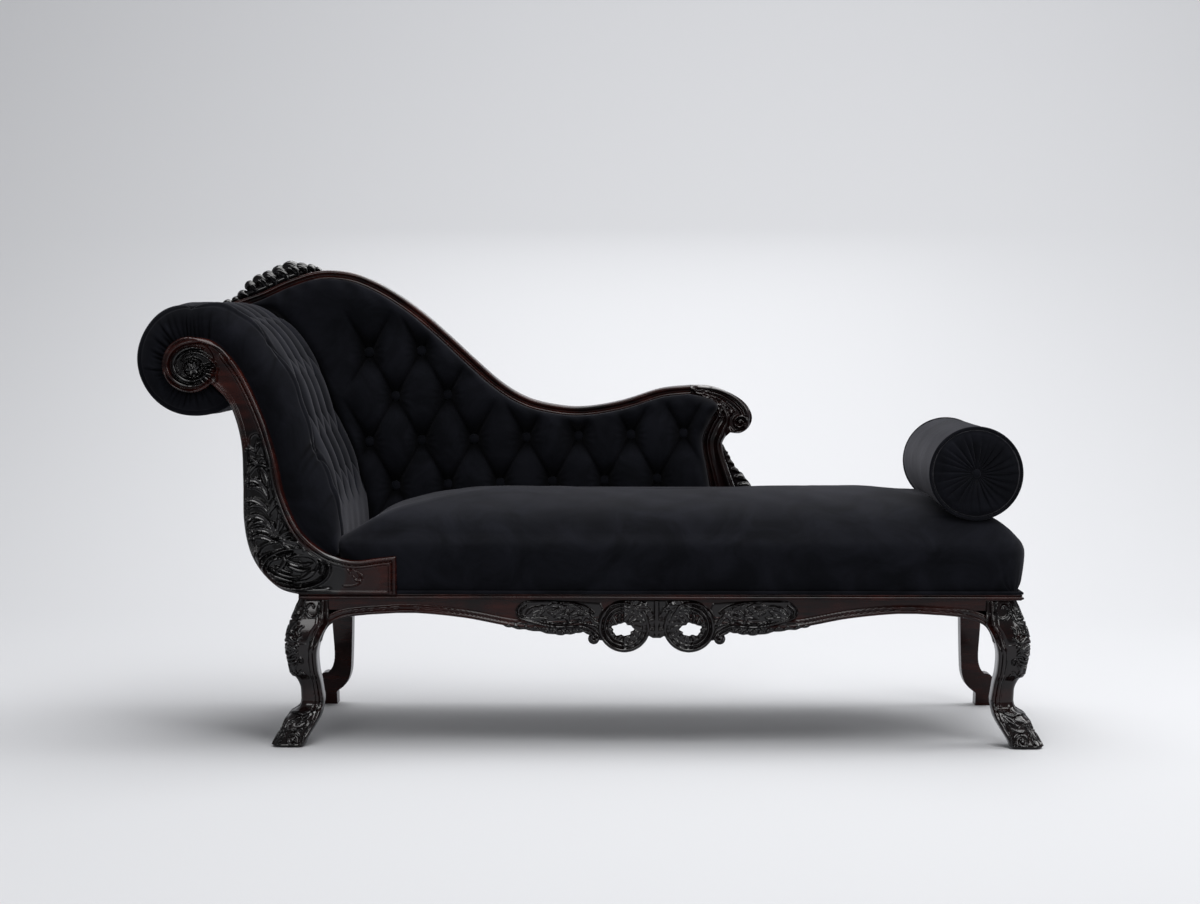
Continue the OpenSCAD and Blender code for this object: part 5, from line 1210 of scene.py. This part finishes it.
def seat_ring(u, reach, corner):
    """Points of a ring round the seat, at a share u from 0 to 1, pushed out by reach in mm"""
    x0, x1, b = SEAT_LEFT - reach, FRAME_RIGHT + reach, SEAT_HALF + reach
    # Stations: foot end, corner, rear side, corner, head end, corner, front side, corner
    stops = np.array([0, 0.06, 0.1, 0.4, 0.44, 0.56, 0.6, 0.9, 0.94, 1.0])
    corner = np.minimum(corner, b)
    c = corner
    xs = np.zeros_like(u)
    ys = np.zeros_like(u)
    for k in range(9):
        here = (u >= stops[k]) & (u <= stops[k + 1])
        t = (u - stops[k]) / (stops[k + 1] - stops[k])
        a = t * math.pi / 2
        px, py = [(x1 + 0 * t, (b - c) * t), (x1 - c + c * np.cos(a), b - c + c * np.sin(a)),
                  (x1 - c + (x0 - x1 + 2 * c) * t, b + 0 * t),
                  (x0 + c - c * np.sin(a), b - c + c * np.cos(a)), (x0 + 0 * t, (b - c) * (1 - 2 * t)),
                  (x0 + c - c * np.cos(a), c - b - c * np.sin(a)),
                  (x0 + c + (x1 - x0 - 2 * c) * t, -b + 0 * t),
                  (x1 - c + c * np.sin(a), c - b - c * np.cos(a)), (x1 + 0 * t, (b - c) * (t - 1))][k]
        xs, ys = np.where(here, px, xs), np.where(here, py, ys)
    rear = seat_rear(xs)
    mid, k = (rear + FRAME_FRONT) / 2, (rear - FRAME_FRONT) / (2 * SEAT_HALF)
    spill = np.maximum(np.abs(ys) - SEAT_HALF, 0)
    return xs, mid + np.sign(ys) * (np.minimum(np.abs(ys), SEAT_HALF) * k + spill)


class COUCH_OT_seat(bpy.types.Operator):
    """Stuffs the seat: a crowned velvet seat with a cord round its foot, dented by the bolster"""
    bl_idname = "couch.seat"
    bl_label = "Seat"

    def execute(self, context):
        sag = context.scene.couch_sizes.sag / MM
        rows = curve(SEAT_ROWS, 96)
        corners = np.interp(np.linspace(0, 12, 96), range(13), SEAT_CORNER) * 46
        reach = np.concatenate([[-280, -62, -62, 0.3, 0.3], rows[:, 0] * 21, [-287.5]])
        tall = np.concatenate([[414.8, 414.8, 335.4, 335.4, 294.2], 294 + rows[:, 1] * 194, [488.2]])
        corner = np.concatenate([[18] * 5, corners, [12]])
        n, m = 620, len(reach) - 1
        piece, u, v = sheet("seat_velvet", n, m)
        j = np.rint(v * m).astype(int)
        x, y = seat_ring(u % 1.0, reach[j], corner[j])
        z = tall[j]
        outside = (j > 5) & (j < m)
        side = ease((470 - z) / 60) * outside
        # Unit direction away from the middle of the ring, for what is pushed in or out
        ox, oy = seat_ring(u % 1.0, reach[j] + 4, corner[j] + 4)
        ox, oy = ox - x, oy - y
        length = np.maximum(np.hypot(ox, oy), 1e-6)
        ox, oy = ox / length, oy / length
        push = sag * 0.8 * ripple(x, y, z, 31, 260) + 0.5 * sag * ripple(x, y, z, 32, 90)
        # Gathers above the cord, deepest at the foot corners
        low = np.exp(-((z - 296) / 34) ** 2)
        push += 0.55 * np.sin(x / 9 + 2 * np.sin(x / 61)) * low
        rng = np.random.default_rng(8)
        for k in range(11):
            for sy in (-1, 1):
                at = 0.905 + 0.0075 * k if sy < 0 else 0.1 - 0.0075 * k
                at += rng.uniform(-0.0015, 0.0015)
                wide = rng.uniform(0.0012, 0.0022)
                d = (u % 1.0) - at - (z - 300) * rng.uniform(-2e-5, 2e-5)
                top = rng.uniform(340, 420)
                push -= rng.uniform(1.2, 2.6) * np.exp(-(d / wide) ** 2) * ease((top - z) / 70)
        x, y = (x + ox * push * outside * np.clip(side + 0.2, 0, 1),
                y + oy * push * outside * np.clip(side + 0.2, 0, 1))
        top = ease((z - 400) / 60) * outside
        z = z + top * (sag * ripple(x, y, 0 * x, 33, 330) + 0.4 * sag * ripple(x, y, 0 * x, 34, 80))
        # The bolster presses a hollow, and the velvet creases round it
        room = np.where(np.abs(np.abs(y - BOLSTER_Y) - 264) < 9, 93, BOLSTER_R + 0.3)
        room = np.where(np.abs(y - BOLSTER_Y) > 276, 0, room)
        far = np.abs(x - BOLSTER[0])
        floor = np.where(far < room, BOLSTER[1] - np.sqrt(np.maximum(room ** 2 - far ** 2, 0)), 999)
        lip = 1.8 * np.exp(-((far - 64) / 16) ** 2) * (np.abs(y - BOLSTER_Y) < 280) * (z > 440)
        z = np.where((z > 420) & outside, np.minimum(z + lip, floor - 0.2), z)
        z = np.minimum(z, 489.5)
        # The front corner at the head swells out in front of the head's border
        x = x - 28 * np.exp(-((z - 390) / 27) ** 2) * ease((-y - 200) / 50) * ease((-x - 395) / 50) * outside
        shape(piece, x, y, z)
        close_up(piece)
        dress(piece, "couch", "velvet", "seat_cover")

        stuffing, u, v = sheet("seat_stuffing_block", 160, 16)
        j = np.rint(v * 16).astype(int)
        inset = np.array([-280, -90, -72, -66, -65, -64.5, -65, -66, -68, -72, -80, -95, -120, -160, -200,
                          -250, -280])
        level = np.array([335, 335, 335.4, 338, 345, 356, 370, 385, 396, 404, 408.5, 411, 412.5, 413.4,
                          413.9, 414, 414])
        x, y = seat_ring(u % 1.0, inset[j], 22 + 0 * u)
        shape(stuffing, x, y, level[j] - 0.15)
        close_up(stuffing, 0.4)
        dress(stuffing, "couch", "foam", "seat_foam")

        round_cord = [(10.2 + 3.1 * math.cos(a), 297.3 + 3.1 * math.sin(a))
                      for a in np.radians(range(0, 360, 30))]
        welt = mitred_run("seat_cord", np.array(round_cord))
        dress(welt, "couch", "velvet", "seat_welt")
        return {"FINISHED"}


def mitred_run(name, section):
    """Draws a section of (out, z) round the front, foot and rear of the seat frame, with mitred corners"""
    corners = np.array([(FRAME_LEFT, FRAME_FRONT, 0, -1), (FRAME_RIGHT, FRAME_FRONT, 1, -1),
                        (FRAME_RIGHT, FRAME_REAR, 1, 1), (FRAME_LEFT, FRAME_REAR, 0, 1)], float)
    runs = []
    for a, b, count in ((0, 1, 60), (1, 2, 24), (2, 3, 60)):
        t = np.linspace(0, 1, count, endpoint=b == 3)[:, None]
        runs.append(corners[a] * (1 - t) + corners[b] * t)
    path = np.vstack(runs)
    n, m = len(path), len(section)
    piece, u, v = sheet(name, n + 1, m)
    i, j = np.rint(u * (n + 1)).astype(int), np.rint(v * m).astype(int) % m
    end = (i == 0) | (i == n + 1)
    k = np.clip(i - 1, 0, n - 1)
    middle = section.mean(0)
    out = np.where(end, middle[0], section[j, 0])
    shape(piece, path[k, 0] + path[k, 2] * out, path[k, 1] + path[k, 3] * out,
          np.where(end, middle[1], section[j, 1]))
    return close_up(piece, angle=35)


class COUCH_OT_bolster(bpy.types.Operator):
    """Rolls the loose bolster: velvet body, gathered ends, piping and a button in each end"""
    bl_idname = "couch.bolster"
    bl_label = "Bolster"

    def execute(self, context):
        body, u, v = sheet("bolster_body_velvet", 130, 144)
        # Radius in shares and place along the axis, from one end's middle to the other's
        where = np.array([(0, -265.9), (0.6, -265.9), (0.92, -265.8), (0.975, -264.5), (0.995, -261),
                          (1, -250), (1, -120), (1, 0), (1, 120), (1, 250), (0.995, 261), (0.975, 264.5),
                          (0.92, 265.8), (0.6, 265.9), (0, 265.9)])
        line = smooth(where, u)
        line[:, 0] = np.clip(line[:, 0], 0, 1)
        a = v * 2 * math.pi
        r = BOLSTER_R * line[:, 0]
        x, z = r * np.cos(a), r * np.sin(a)
        soft = 0.9 * ripple(x, line[:, 1], z, 41, 160) + 0.35 * ripple(x, line[:, 1], z, 42, 60) - 0.9
        gather = (-0.8 * np.abs(np.sin(a * 17 + 0.8 * np.sin(5 * a)))
                  * np.exp(-((260 - np.abs(line[:, 1])) / 14) ** 2))
        r = r + (soft + gather) * line[:, 0]
        shape(body, BOLSTER[0] + r * np.cos(a), BOLSTER_Y + line[:, 1], BOLSTER[1] + r * np.sin(a))
        close_up(body, 0.05)
        dress(body, "bolster", "velvet", "bolster")

        made, cords, buttons = [], [], []
        for side in (-1, 1):
            made.append(self.gathered_end(side, context.scene.couch_sizes.pleats))
            t = np.linspace(0, 2 * math.pi, 121)[:-1]
            ring = np.stack([BOLSTER[0] + 88.4 * np.cos(t), 0 * t + BOLSTER_Y + side * 266.3,
                             BOLSTER[1] + 88.4 * np.sin(t)], 1)
            cords.append(self.cord(ring))
            buttons.append(button((BOLSTER[0], BOLSTER_Y + side * 271.2, BOLSTER[1]), (0, side, 0), 17))
        join(made, "bolster_ends_velvet")
        dress(made[0], "bolster", "velvet", "bolster_ends")
        join(cords, "bolster_piping_velvet")
        dress(cords[0], "bolster", "velvet", "bolster_piping")
        join(buttons, "bolster_buttons_velvet")
        dress(buttons[0], "bolster", "velvet", "bolster_buttons")
        return {"FINISHED"}

    def cord(self, ring):
        piece, u, v = sheet("piping", 120, 10)
        k, t = np.rint(u * 120).astype(int) % 120, v * 2 * math.pi
        away = (ring[k] - [BOLSTER[0], 0, BOLSTER[1]]) * [1, 0, 1]
        away /= np.linalg.norm(away, axis=1)[:, None]
        q = ring[k] + 2.9 * (np.cos(t)[:, None] * away + np.sin(t)[:, None] * np.array([0, 1, 0]))
        shape(piece, *q.T)
        return close_up(piece)

    def gathered_end(self, side, pleats):
        """A disc of velvet gathered to its middle in uneven pleats"""
        around = pleats * 12
        piece, u, v = sheet("end", 46, around)
        rng = np.random.default_rng(50 + side)
        cuts = np.sort((np.arange(pleats) + rng.uniform(-0.22, 0.22, pleats)) / pleats)
        turn = v
        cuts = np.concatenate([[cuts[-1] - 1], cuts, [cuts[0] + 1]])
        k = np.clip(np.searchsorted(cuts, turn, side="right") - 1, 0, pleats)
        share = (turn - cuts[k]) / (cuts[k + 1] - cuts[k])
        width = (cuts[k + 1] - cuts[k]) * pleats
        # Each pleat leans over its neighbour: it rises slowly and drops steeply
        pleat = np.where(share < 0.78, np.sin(share / 0.78 * math.pi / 2),
                         np.cos((share - 0.78) / 0.22 * math.pi / 2))
        flat = u < 0.5
        r = np.where(flat, 2 * u, 2 - 2 * u)
        radius = 84.2 * r
        crown = 8.2 * np.sin(math.pi * np.clip(r, 0, 1) ** 0.9 * 0.93 + 0.12) ** 0.7
        deep = 4.6 * width * np.clip(r / 0.25, 0, 1) ** 0.6 * (1 - 0.7 * ease((r - 0.55) / 0.45))
        top = crown - deep * (1 - pleat) * ease((r - 0.05) / 0.1) + 1.6
        out = np.where(flat, 0.25, np.maximum(top * ease((1 - r) * 9 + 0.05) + 0.3, 0.3))
        a = turn * 2 * math.pi * side + 0.08 * (1 - r) * side
        shape(piece, BOLSTER[0] + radius * np.cos(a), BOLSTER_Y + side * (266 + out),
              BOLSTER[1] + radius * np.sin(a))
        return close_up(piece, 0.05)


class COUCH_OT_linings(bpy.types.Operator):
    """Tacks the plain velvet behind the head and the back, and the black cambric under the seat"""
    bl_idname = "couch.linings"
    bl_label = "Outside panels"

    def execute(self, context):
        line = curve([(-702, 683), (-690, 660), (-671, 592), (-666, 515), (-665, 437), (-654, 379),
                      (-631, 337), (-596, 305.5), (-563, 299)], 140)
        line = line + across(line) * 6.3
        y = np.linspace(-274, 261, 60)
        front = [(-1.4 - 0.8 * math.sin(math.pi * (t + 274) / 535), t) for t in y]
        section = np.array(front + [(1.3, t) for t in y[::-12]])
        piece = ribbon("head_outside_velvet", line, section)
        bpy.ops.object.shade_smooth()
        dress(piece, "couch", "velvet", "head_outside_panel")

        under = CREST - across(CREST) * 20.6
        under = under[(under[:, 0] > -735)]
        right = curve([(268, 332), (257, 384), (245.5, 448), (236, 500), (226, 551), (227.5, 585),
                       (240.5, 615), (257, 638), (240, 655)], 60)
        loop = np.vstack([[(-553, 294.4), (263.5, 294.4)], right, under[::-1],
                          [(-735, 800)], FACING_INNER[FACING_INNER[:, 0] < -566][::-1] + [6, 6],
                          [(-553, 420)]])

        def rear(x, z, edge):
            return 303 + 0.5 * ripple(x, 0 * x, z, 61, 240) - 1.6 * (1 - ease(edge / 6))

        piece = carved_board("back_outside_velvet", [loop], [], 300.5, 7, rear)
        bpy.ops.object.shade_smooth()
        dress(piece, "couch", "velvet", "back_outside_panel")

        dust = np.array([(-557, -215), (-500, -215), (-500, -247), (765, -247), (765, -215), (822, -215),
                         (822, 253), (779, 253), (779, 296), (-514, 296), (-514, 253), (-557, 253)], float)

        def hung(x, y, edge):
            return 252.9 - 5.5 * ease(edge / 180) - 0.5 * ripple(x, y, 0 * x, 62, 120) * ease(edge / 30)

        piece = carved_board("dust_cambric", [dust], [], 253.9, 12, hung)
        for w in piece.data.vertices:
            w.co.y, w.co.z = w.co.z, w.co.y
        for w in piece.data.vertices:
            if w.co.z > 0.2538:
                w.co.z = 0.2539 if min(abs(w.co.x * 1000 - e) for e in (-557, 822)) < 20 else w.co.z
        close_up(piece, angle=40)
        dress(piece, "couch", "dust_cloth", "dust_cover")
        return {"FINISHED"}


class COUCH_OT_legs(bpy.types.Operator):
    """Shapes the scrolled front legs, with the apron's beads running down them and leaves on the knee"""
    bl_idname = "couch.legs"
    bl_label = "Front legs"

    # Outer and inner edge of the right leg at each height, in mm. The front and the side are the same.
    outer = [(873, 0), (875, 5), (868, 17), (858.5, 35), (852, 50), (845, 59), (838.5, 66), (828, 73),
             (825, 82), (825, 92), (826, 110), (832, 126), (841, 139), (846, 159), (849, 179), (850, 203),
             (847, 225), (842, 243), (836, 258), (827, 283)]
    inner = [(814, 0), (810.5, 11), (803, 24), (794, 39), (785, 57), (781, 77), (780, 90), (782, 104),
             (785, 126), (788.5, 148), (790, 179), (785, 203), (778.5, 219), (771, 232), (768, 240),
             (768, 283)]

    def execute(self, context):
        for name, mirror, node in (("front_leg_foot_carved", False, "front_leg_foot"),
                                   ("front_leg_head_carved", True, "front_leg_head")):
            leg = self.leg(name, mirror)
            ear = self.ear(name + "_ear", mirror)
            leg = join([leg, ear], name)
            dress(leg, "couch", "show_wood", node)
        return {"FINISHED"}

    def edge(self, table, z):
        line = curve(table, 160)
        return np.interp(z, line[:, 1], line[:, 0])

    def leg(self, name, mirror):
        # A section with three squared corners and a rounder one in front, walked in even steps
        t = np.linspace(0, 2 * math.pi, 721)
        power = 7 - 3.6 * np.clip(np.cos(t + math.pi / 4), 0, 1) ** 2
        reach = (np.abs(np.cos(t)) ** power + np.abs(np.sin(t)) ** power) ** (-1 / power)
        walk = even(np.stack([reach * np.cos(t), reach * np.sin(t)], 1), 181)
        away = -across(walk)
        heights = np.concatenate([np.linspace(0, 283, 236), [284, 300, 328, 329.5]])
        n = len(heights)
        piece, u, v = sheet(name, 180, n + 1)
        i, j = np.rint(u * 180).astype(int) % 180, np.clip(np.rint(v * (n + 1)).astype(int) - 1, 0, n - 1)
        cap = (v < 0.5 / (n + 1)) | (v > 1 - 0.5 / (n + 1))
        z = heights[j]
        outer = np.where(z > 283.5, FRAME_RIGHT, self.edge(self.outer, z))
        inner = np.where(z > 283.5, 768, self.edge(self.inner, z))
        half = (outer - inner) / 2
        round_off = rounded_edge(z, 4)
        size = np.where(cap, 0, half - round_off)
        x = (outer + inner) / 2 + size * walk[i, 0]
        y = FRAME_FRONT - (outer - FRAME_RIGHT) + half + size * walk[i, 1]
        nx, ny = away[i, 0], away[i, 1]
        # The same drawing runs over the front and the side, and meets at the corner
        front, side = np.clip(-ny, 0, 1) ** 2, np.clip(nx, 0, 1) ** 2
        share = front / np.maximum(front + side, 1e-6)
        at_x = share * x + (1 - share) * (FRAME_RIGHT + FRAME_FRONT - y)
        inward = at_x - inner
        shown = np.clip(front + side, 0, 1) * (z < 283.5) * ~cap
        beads = np.maximum(bead_at(inward, 4, 3.8, 3), bead_at(inward, 12.2, 3.4, 2.8)) * (z > 50)
        beads -= 1.4 * np.exp(-((inward - 17.6) / 1.5) ** 2) * (z > 60)
        # Near the beads the knee falls back to the plane of the apron
        sink = (1 - ease(inward / 26)) * ease((z - 186) / 40) * np.clip(outer - 828, 0, 30) * shown
        tall = np.maximum(carve(at_x, z, self.drawing()), np.maximum(beads, 0)) + np.minimum(beads, 0)
        x = x + nx * (tall * shown - sink * (1 - share))
        y = y + ny * (tall * shown - sink * share)
        if mirror:
            x = 2 * MIDDLE_X - x
        shape(piece, x, y, z)
        close_up(piece, 0.05, 50)
        co = coordinates(piece)
        at_x = 2 * MIDDLE_X - co[:, 0] if mirror else co[:, 0]
        z = co[:, 2]
        cut_here = np.clip(carve(at_x, z, self.drawing()) / 2, 0, 1)
        field = 0.8 - 0.6 * ease(1 - np.abs(z - 220) / 26) - 0.45 * ease(1 - np.abs(z - 98) / 34)
        mark(piece, "carved", np.maximum(cut_here, field))
        return piece

    def ear(self, name, mirror):
        """The apron's curve carried on to the leg, with its two beads"""
        low = np.array([(726, 247.6), (741, 244.6), (756, 239), (768, 231.5), (776, 222), (781.5, 211),
                        (785, 199)])
        low = curve(low, 50)
        loop = np.vstack([low, [(800, 199), (800, 282.5), (768.2, 282.5), (768.2, 262), (726, 262)]])
        if mirror:
            low, loop = (np.stack([2 * MIDDLE_X - p[:, 0], p[:, 1]], 1) for p in (low, loop))

        piece = carved_board(name, [loop], [], -249.5, 1.6, beaded_along(low))
        mark(piece, "carved", 0.4)
        return piece

    def drawing(self):
        """Scroll on the block, leaf clusters down the knee's corner, and the leafy scroll of the foot"""
        def stroke(width, tall, *places):
            return cut(places, width, tall, "leaf", 20)

        def line(width, tall, *places):
            return cut(places, width, tall, "bead", 26)

        made = [
            line(2.1, 3.4, (787.4, 282.5), (786.4, 266), (789, 254), (798, 248.2), (808, 252.6),
                 (811.4, 263), (806.4, 272), (799.4, 272), (797, 266)),
            line(1.5, 2.4, (813, 282), (817, 270), (814, 258), (806, 248)),
            # leaves on the block's corner
            stroke(3, 4.4, (815, 265), (817.5, 256), (823, 249.8), (829, 253.8), (828, 262)),
            stroke(2.8, 4.2, (817, 252), (826, 247.4), (836, 248.4)),
            stroke(3, 4.2, (822, 268), (830, 262), (836, 253)),
            stroke(2.4, 4, (826, 276), (832, 266), (838, 258)),
            # the cluster under it
            stroke(3.8, 5.4, (826, 242), (836, 236), (842, 226), (838, 217)),
            stroke(3.8, 5.4, (843, 238), (847, 226), (845, 212), (836, 204), (826, 205)),
            stroke(3.2, 5, (816, 232), (821, 228.6), (825, 222), (821, 216)),
            stroke(3, 4.8, (817, 213), (823, 209), (829, 204), (839, 201)),
            stroke(2.8, 5, (828, 232), (833, 226), (834, 218), (829, 212)),
            line(1.9, 4.6, (820, 221), (822, 219)), line(1, 1.8, (810, 197.6), (820, 197.2), (830, 198.6)),
            # lobes round a small flower, and the leaf below
            stroke(3, 5, (838, 191), (831, 195), (825, 193)),
            stroke(3, 5, (838, 190), (832, 188), (826, 184)),
            stroke(3, 5, (839, 190), (846, 194), (850, 200)),
            stroke(3, 5, (839, 189), (845, 186), (851, 182)),
            stroke(3, 5, (838, 189), (836, 183), (834, 177)), line(2.2, 5.6, (838, 190), (838.6, 190)),
            stroke(3.4, 5, (826, 177), (834, 181), (842, 176), (846, 168)),
            line(1.6, 4, (823, 171), (817.6, 168), (817, 162), (822, 160), (826, 164), (823, 167.6)),
            stroke(3, 4.6, (829, 172), (838, 168), (846, 166)),
            stroke(2.8, 4.4, (830, 163), (839, 160), (846, 156)),
            # pendants
            stroke(3.4, 4.6, (828, 158), (834, 152), (833, 144), (828, 139)),
            stroke(2.8, 4, (811, 136), (819, 139.6), (828, 136), (833, 133)),
            stroke(3, 4.4, (843, 158), (844, 148), (838, 140), (832, 134)),
            stroke(2.6, 4, (818, 147), (823, 142), (824, 134)),
            # collar that rolls over the foot
            line(2, 3.4, (783, 84), (790, 72), (801, 61), (813, 50), (828, 42)),
            line(1.8, 3.6, (797, 66), (806, 60), (816, 55), (824, 44)),
            line(2.8, 5, (804, 66.5), (816, 61.5), (828, 64), (838, 64.5), (843, 60)),
            stroke(3, 4.4, (822, 56), (832, 52), (842, 48), (847, 38)),
            # foot scroll
            cut(curl_line(834.6, 14.6, 150, -1.5, 14, 2.4, 50), 1.9, 4, count=50),
            cut([(834.4, 14.6), (834.8, 14.6)], 3, 4.6, count=3),
            stroke(2.4, 3.8, (812, 40), (822, 34), (832, 32), (842, 34)),
            stroke(3, 4.2, (846, 50), (855, 36), (861, 22), (871, 10)),
            stroke(2.6, 4, (842, 42), (851, 30), (856, 16), (866, 5)),
            line(1.7, 3.2, (800, 47), (808, 34), (814, 20), (817, 6)),
            line(1.5, 3, (809, 47), (816, 36), (819, 22), (822, 8))]
        return made


class COUCH_OT_hidden(bpy.types.Operator):
    """Gives the frames, rails, webbing and screws inside the couch their own finishes"""
    bl_idname = "couch.hidden"
    bl_label = "Hidden frame"

    def execute(self, context):
        for name, node in NODES.items():
            if name in SHOWN_WOOD:
                finish = "show_wood"
            elif "screw" in name:
                finish = "screw_steel"
            elif "webbing" in name:
                finish = "webbing"
            elif "foam" in name:
                finish = "foam"
            elif "dust" in name:
                finish = "dust_cloth"
            elif any(word in name for word in SOFT_WORDS):
                finish = "velvet"
            else:
                finish = "frame_wood"
            node.data.materials.clear()
            node.data.materials.append(FINISH[finish])
        return {"FINISHED"}


SHOWN_WOOD = ("front_apron", "apron_cartouche", "seat_moulding", "front_leg_head", "front_leg_foot",
              "rear_leg_head", "rear_leg_foot", "head_facing", "facing_carving", "crest_rail",
              "crest_carving", "tail_scroll", "tail_leaf", "back_seat_rail", "head_seat_rail",
              "foot_seat_rail", "head_frame_rear", "back_tack_rail")
SOFT_WORDS = ("seat_cover", "seat_welt", "pad", "border", "button", "outside", "bolster")


class COUCH_OT_finishes(bpy.types.Operator):
    """Mixes the wood, velvet and hidden finishes"""
    bl_idname = "couch.finishes"
    bl_label = "Finishes"

    def execute(self, context):
        look = context.scene.couch_finish
        FINISH["show_wood"] = ebonised_mahogany(look)
        FINISH["velvet"] = cotton_velvet(look)
        FINISH["webbing"] = jute_webbing()
        FINISH["frame_wood"] = simple_finish("sawn beech, unfinished", "#a8824f", "#c9a677", 9, 0.7, 0.3,
                                             (0.08, 1, 1))
        FINISH["foam"] = simple_finish("hair and cotton stuffing", "#a6977a", "#cdbfa2", 6, 0.95, 1.2)
        FINISH["dust_cloth"] = simple_finish("black cambric, plain weave", "#131215", "#222126", 1.5, 0.92,
                                             0.2)
        FINISH["screw_steel"] = simple_finish("zinc-plated steel, brushed", "#8f9193", "#b4b5b3", 2, 0.35,
                                              0.02,
                                              **{"Metallic": 1.0})
        return {"FINISHED"}


class COUCH_OT_studio(bpy.types.Operator):
    """Sets the couch on pale seamless paper under wide soft lamps, with the camera in front"""
    bl_idname = "couch.studio"
    bl_label = "Studio"

    def execute(self, context):
        floor, u, v = sheet("studio_paper", 48, 60)
        # A floor that turns up behind the couch in one wide curve
        t = v * 14
        run = np.where(t < 8, t, 8 + np.sin(np.clip((t - 8) / 2.5, 0, math.pi / 2)) * 2.5)
        up = np.where(t < 8, 0, 2.5 * (1 - np.cos(np.clip((t - 8) / 2.5, 0, math.pi / 2))))
        up = np.where(t > 8 + 2.5 * math.pi / 2, 2.5 + (t - 8 - 2.5 * math.pi / 2), up)
        shape(floor, (u - 0.5) * 18000, (run - 6) * 1000, up * 1000)
        close_up(floor)
        paper = fresh("seamless studio paper, matt")
        place = add(paper, "ShaderNodeTexCoord").outputs["Object"]
        tooth = add(paper, "ShaderNodeTexNoise", {"Vector": place, "Scale": 60.0, "Detail": 3.0})
        bump = add(paper, "ShaderNodeBump",
                   {"Height": tooth.outputs[0], "Strength": 0.05, "Distance": 0.0005})
        # The eye sees pale paper; the light that it throws back on the couch is held down
        rays = add(paper, "ShaderNodeLightPath")
        seen = add(paper, "ShaderNodeMath",
                   {0: rays.outputs["Is Camera Ray"], 1: rays.outputs["Is Transmission Ray"]},
                   operation="MAXIMUM")
        look = add(paper, "ShaderNodeMix", {0: seen.outputs[0], 6: colour("#a2a3a7"),
                                            7: list(context.scene.couch_finish.backdrop) + [1]},
                   data_type="RGBA")
        output(paper,
               add(paper, "ShaderNodeBsdfPrincipled", {"Base Color": look.outputs[2], "Roughness": 0.85,
                                                              "Normal": bump.outputs[0]}))
        floor.data.materials.append(paper)

        world = bpy.data.worlds.new("soft studio")
        context.scene.world = world
        world.use_nodes = True
        world.node_tree.nodes["Background"].inputs[0].default_value = colour("#e9eaee")
        world.node_tree.nodes["Background"].inputs[1].default_value = 0.13
        for name, place, aim, size, watts in (
                ("overhead softbox", (0.8, 1.0, 5.2), (0.1, 0.5, 0.4), 6.2, 310),
                ("front right softbox", (3.2, -4.4, 2.3), (0.2, 0, 0.4), 1.8, 40),
                ("front left softbox", (-1.4, -4.6, 2.3), (-0.3, 0, 0.4), 1.6, 24),
                ("front top softbox", (0.7, -2.2, 4.0), (0, 0, 0.5), 2.0, 36),
                ("low softbox behind", (0.0, 3.3, 2.35), (0, 0, 0.1), 2.2, 18),
                ("right rim softbox", (3.2, 0.4, 2.6), (-0.4, 0, 0.8), 1.2, 16)):
            clear_selection()
            bpy.ops.object.light_add(type="AREA", location=place)
            lamp = context.object
            lamp.name = lamp.data.name = name.replace(" ", "_")
            lamp.data.size = size
            lamp.data.energy = watts
            lamp.rotation_euler = (Vector(aim) - Vector(place)).to_track_quat("-Z", "Y").to_euler()
        clear_selection()
        bpy.ops.object.camera_add(location=(0.1125, -5.421, 0.808),
                                  rotation=(math.radians(90 - 2.66), 0, math.radians(1.0)))
        camera = context.object
        camera.name = "studio_camera"
        camera.data.lens = 80
        camera.data.sensor_width = 36
        context.scene.camera = camera
        context.scene.view_settings.view_transform = "Standard"
        return {"FINISHED"}


STEPS = [COUCH_OT_finishes, COUCH_OT_hidden, COUCH_OT_facing, COUCH_OT_apron, COUCH_OT_legs,
         COUCH_OT_mouldings,
         COUCH_OT_crest, COUCH_OT_tail, COUCH_OT_head, COUCH_OT_back, COUCH_OT_seat, COUCH_OT_bolster,
         COUCH_OT_linings, COUCH_OT_studio]


class COUCH_PT_panel(bpy.types.Panel):
    """Sizes, colours and the steps that make the couch"""
    bl_idname = "COUCH_PT_panel"
    bl_label = "Fainting Couch"
    bl_space_type = "VIEW_3D"
    bl_region_type = "UI"
    bl_category = "Couch"

    def draw(self, context):
        for group in (context.scene.couch_sizes, context.scene.couch_finish):
            box = self.layout.box()
            for name in group.__annotations__:
                box.prop(group, name)
        for step in STEPS:
            self.layout.operator(step.bl_idname)


CLASSES = [CouchSizes, CouchFinish] + STEPS + [COUCH_PT_panel]


def register():
    for item in CLASSES:
        bpy.utils.register_class(item)
    bpy.types.Scene.couch_sizes = PointerProperty(type=CouchSizes)
    bpy.types.Scene.couch_finish = PointerProperty(type=CouchFinish)


def unregister():
    del bpy.types.Scene.couch_finish
    del bpy.types.Scene.couch_sizes
    for item in reversed(CLASSES):
        bpy.utils.unregister_class(item)


def main():
    register()
    for step in STEPS:
        group, name = step.bl_idname.split(".")
        getattr(getattr(bpy.ops, group), name)()


if __name__ == "__main__":
    main()
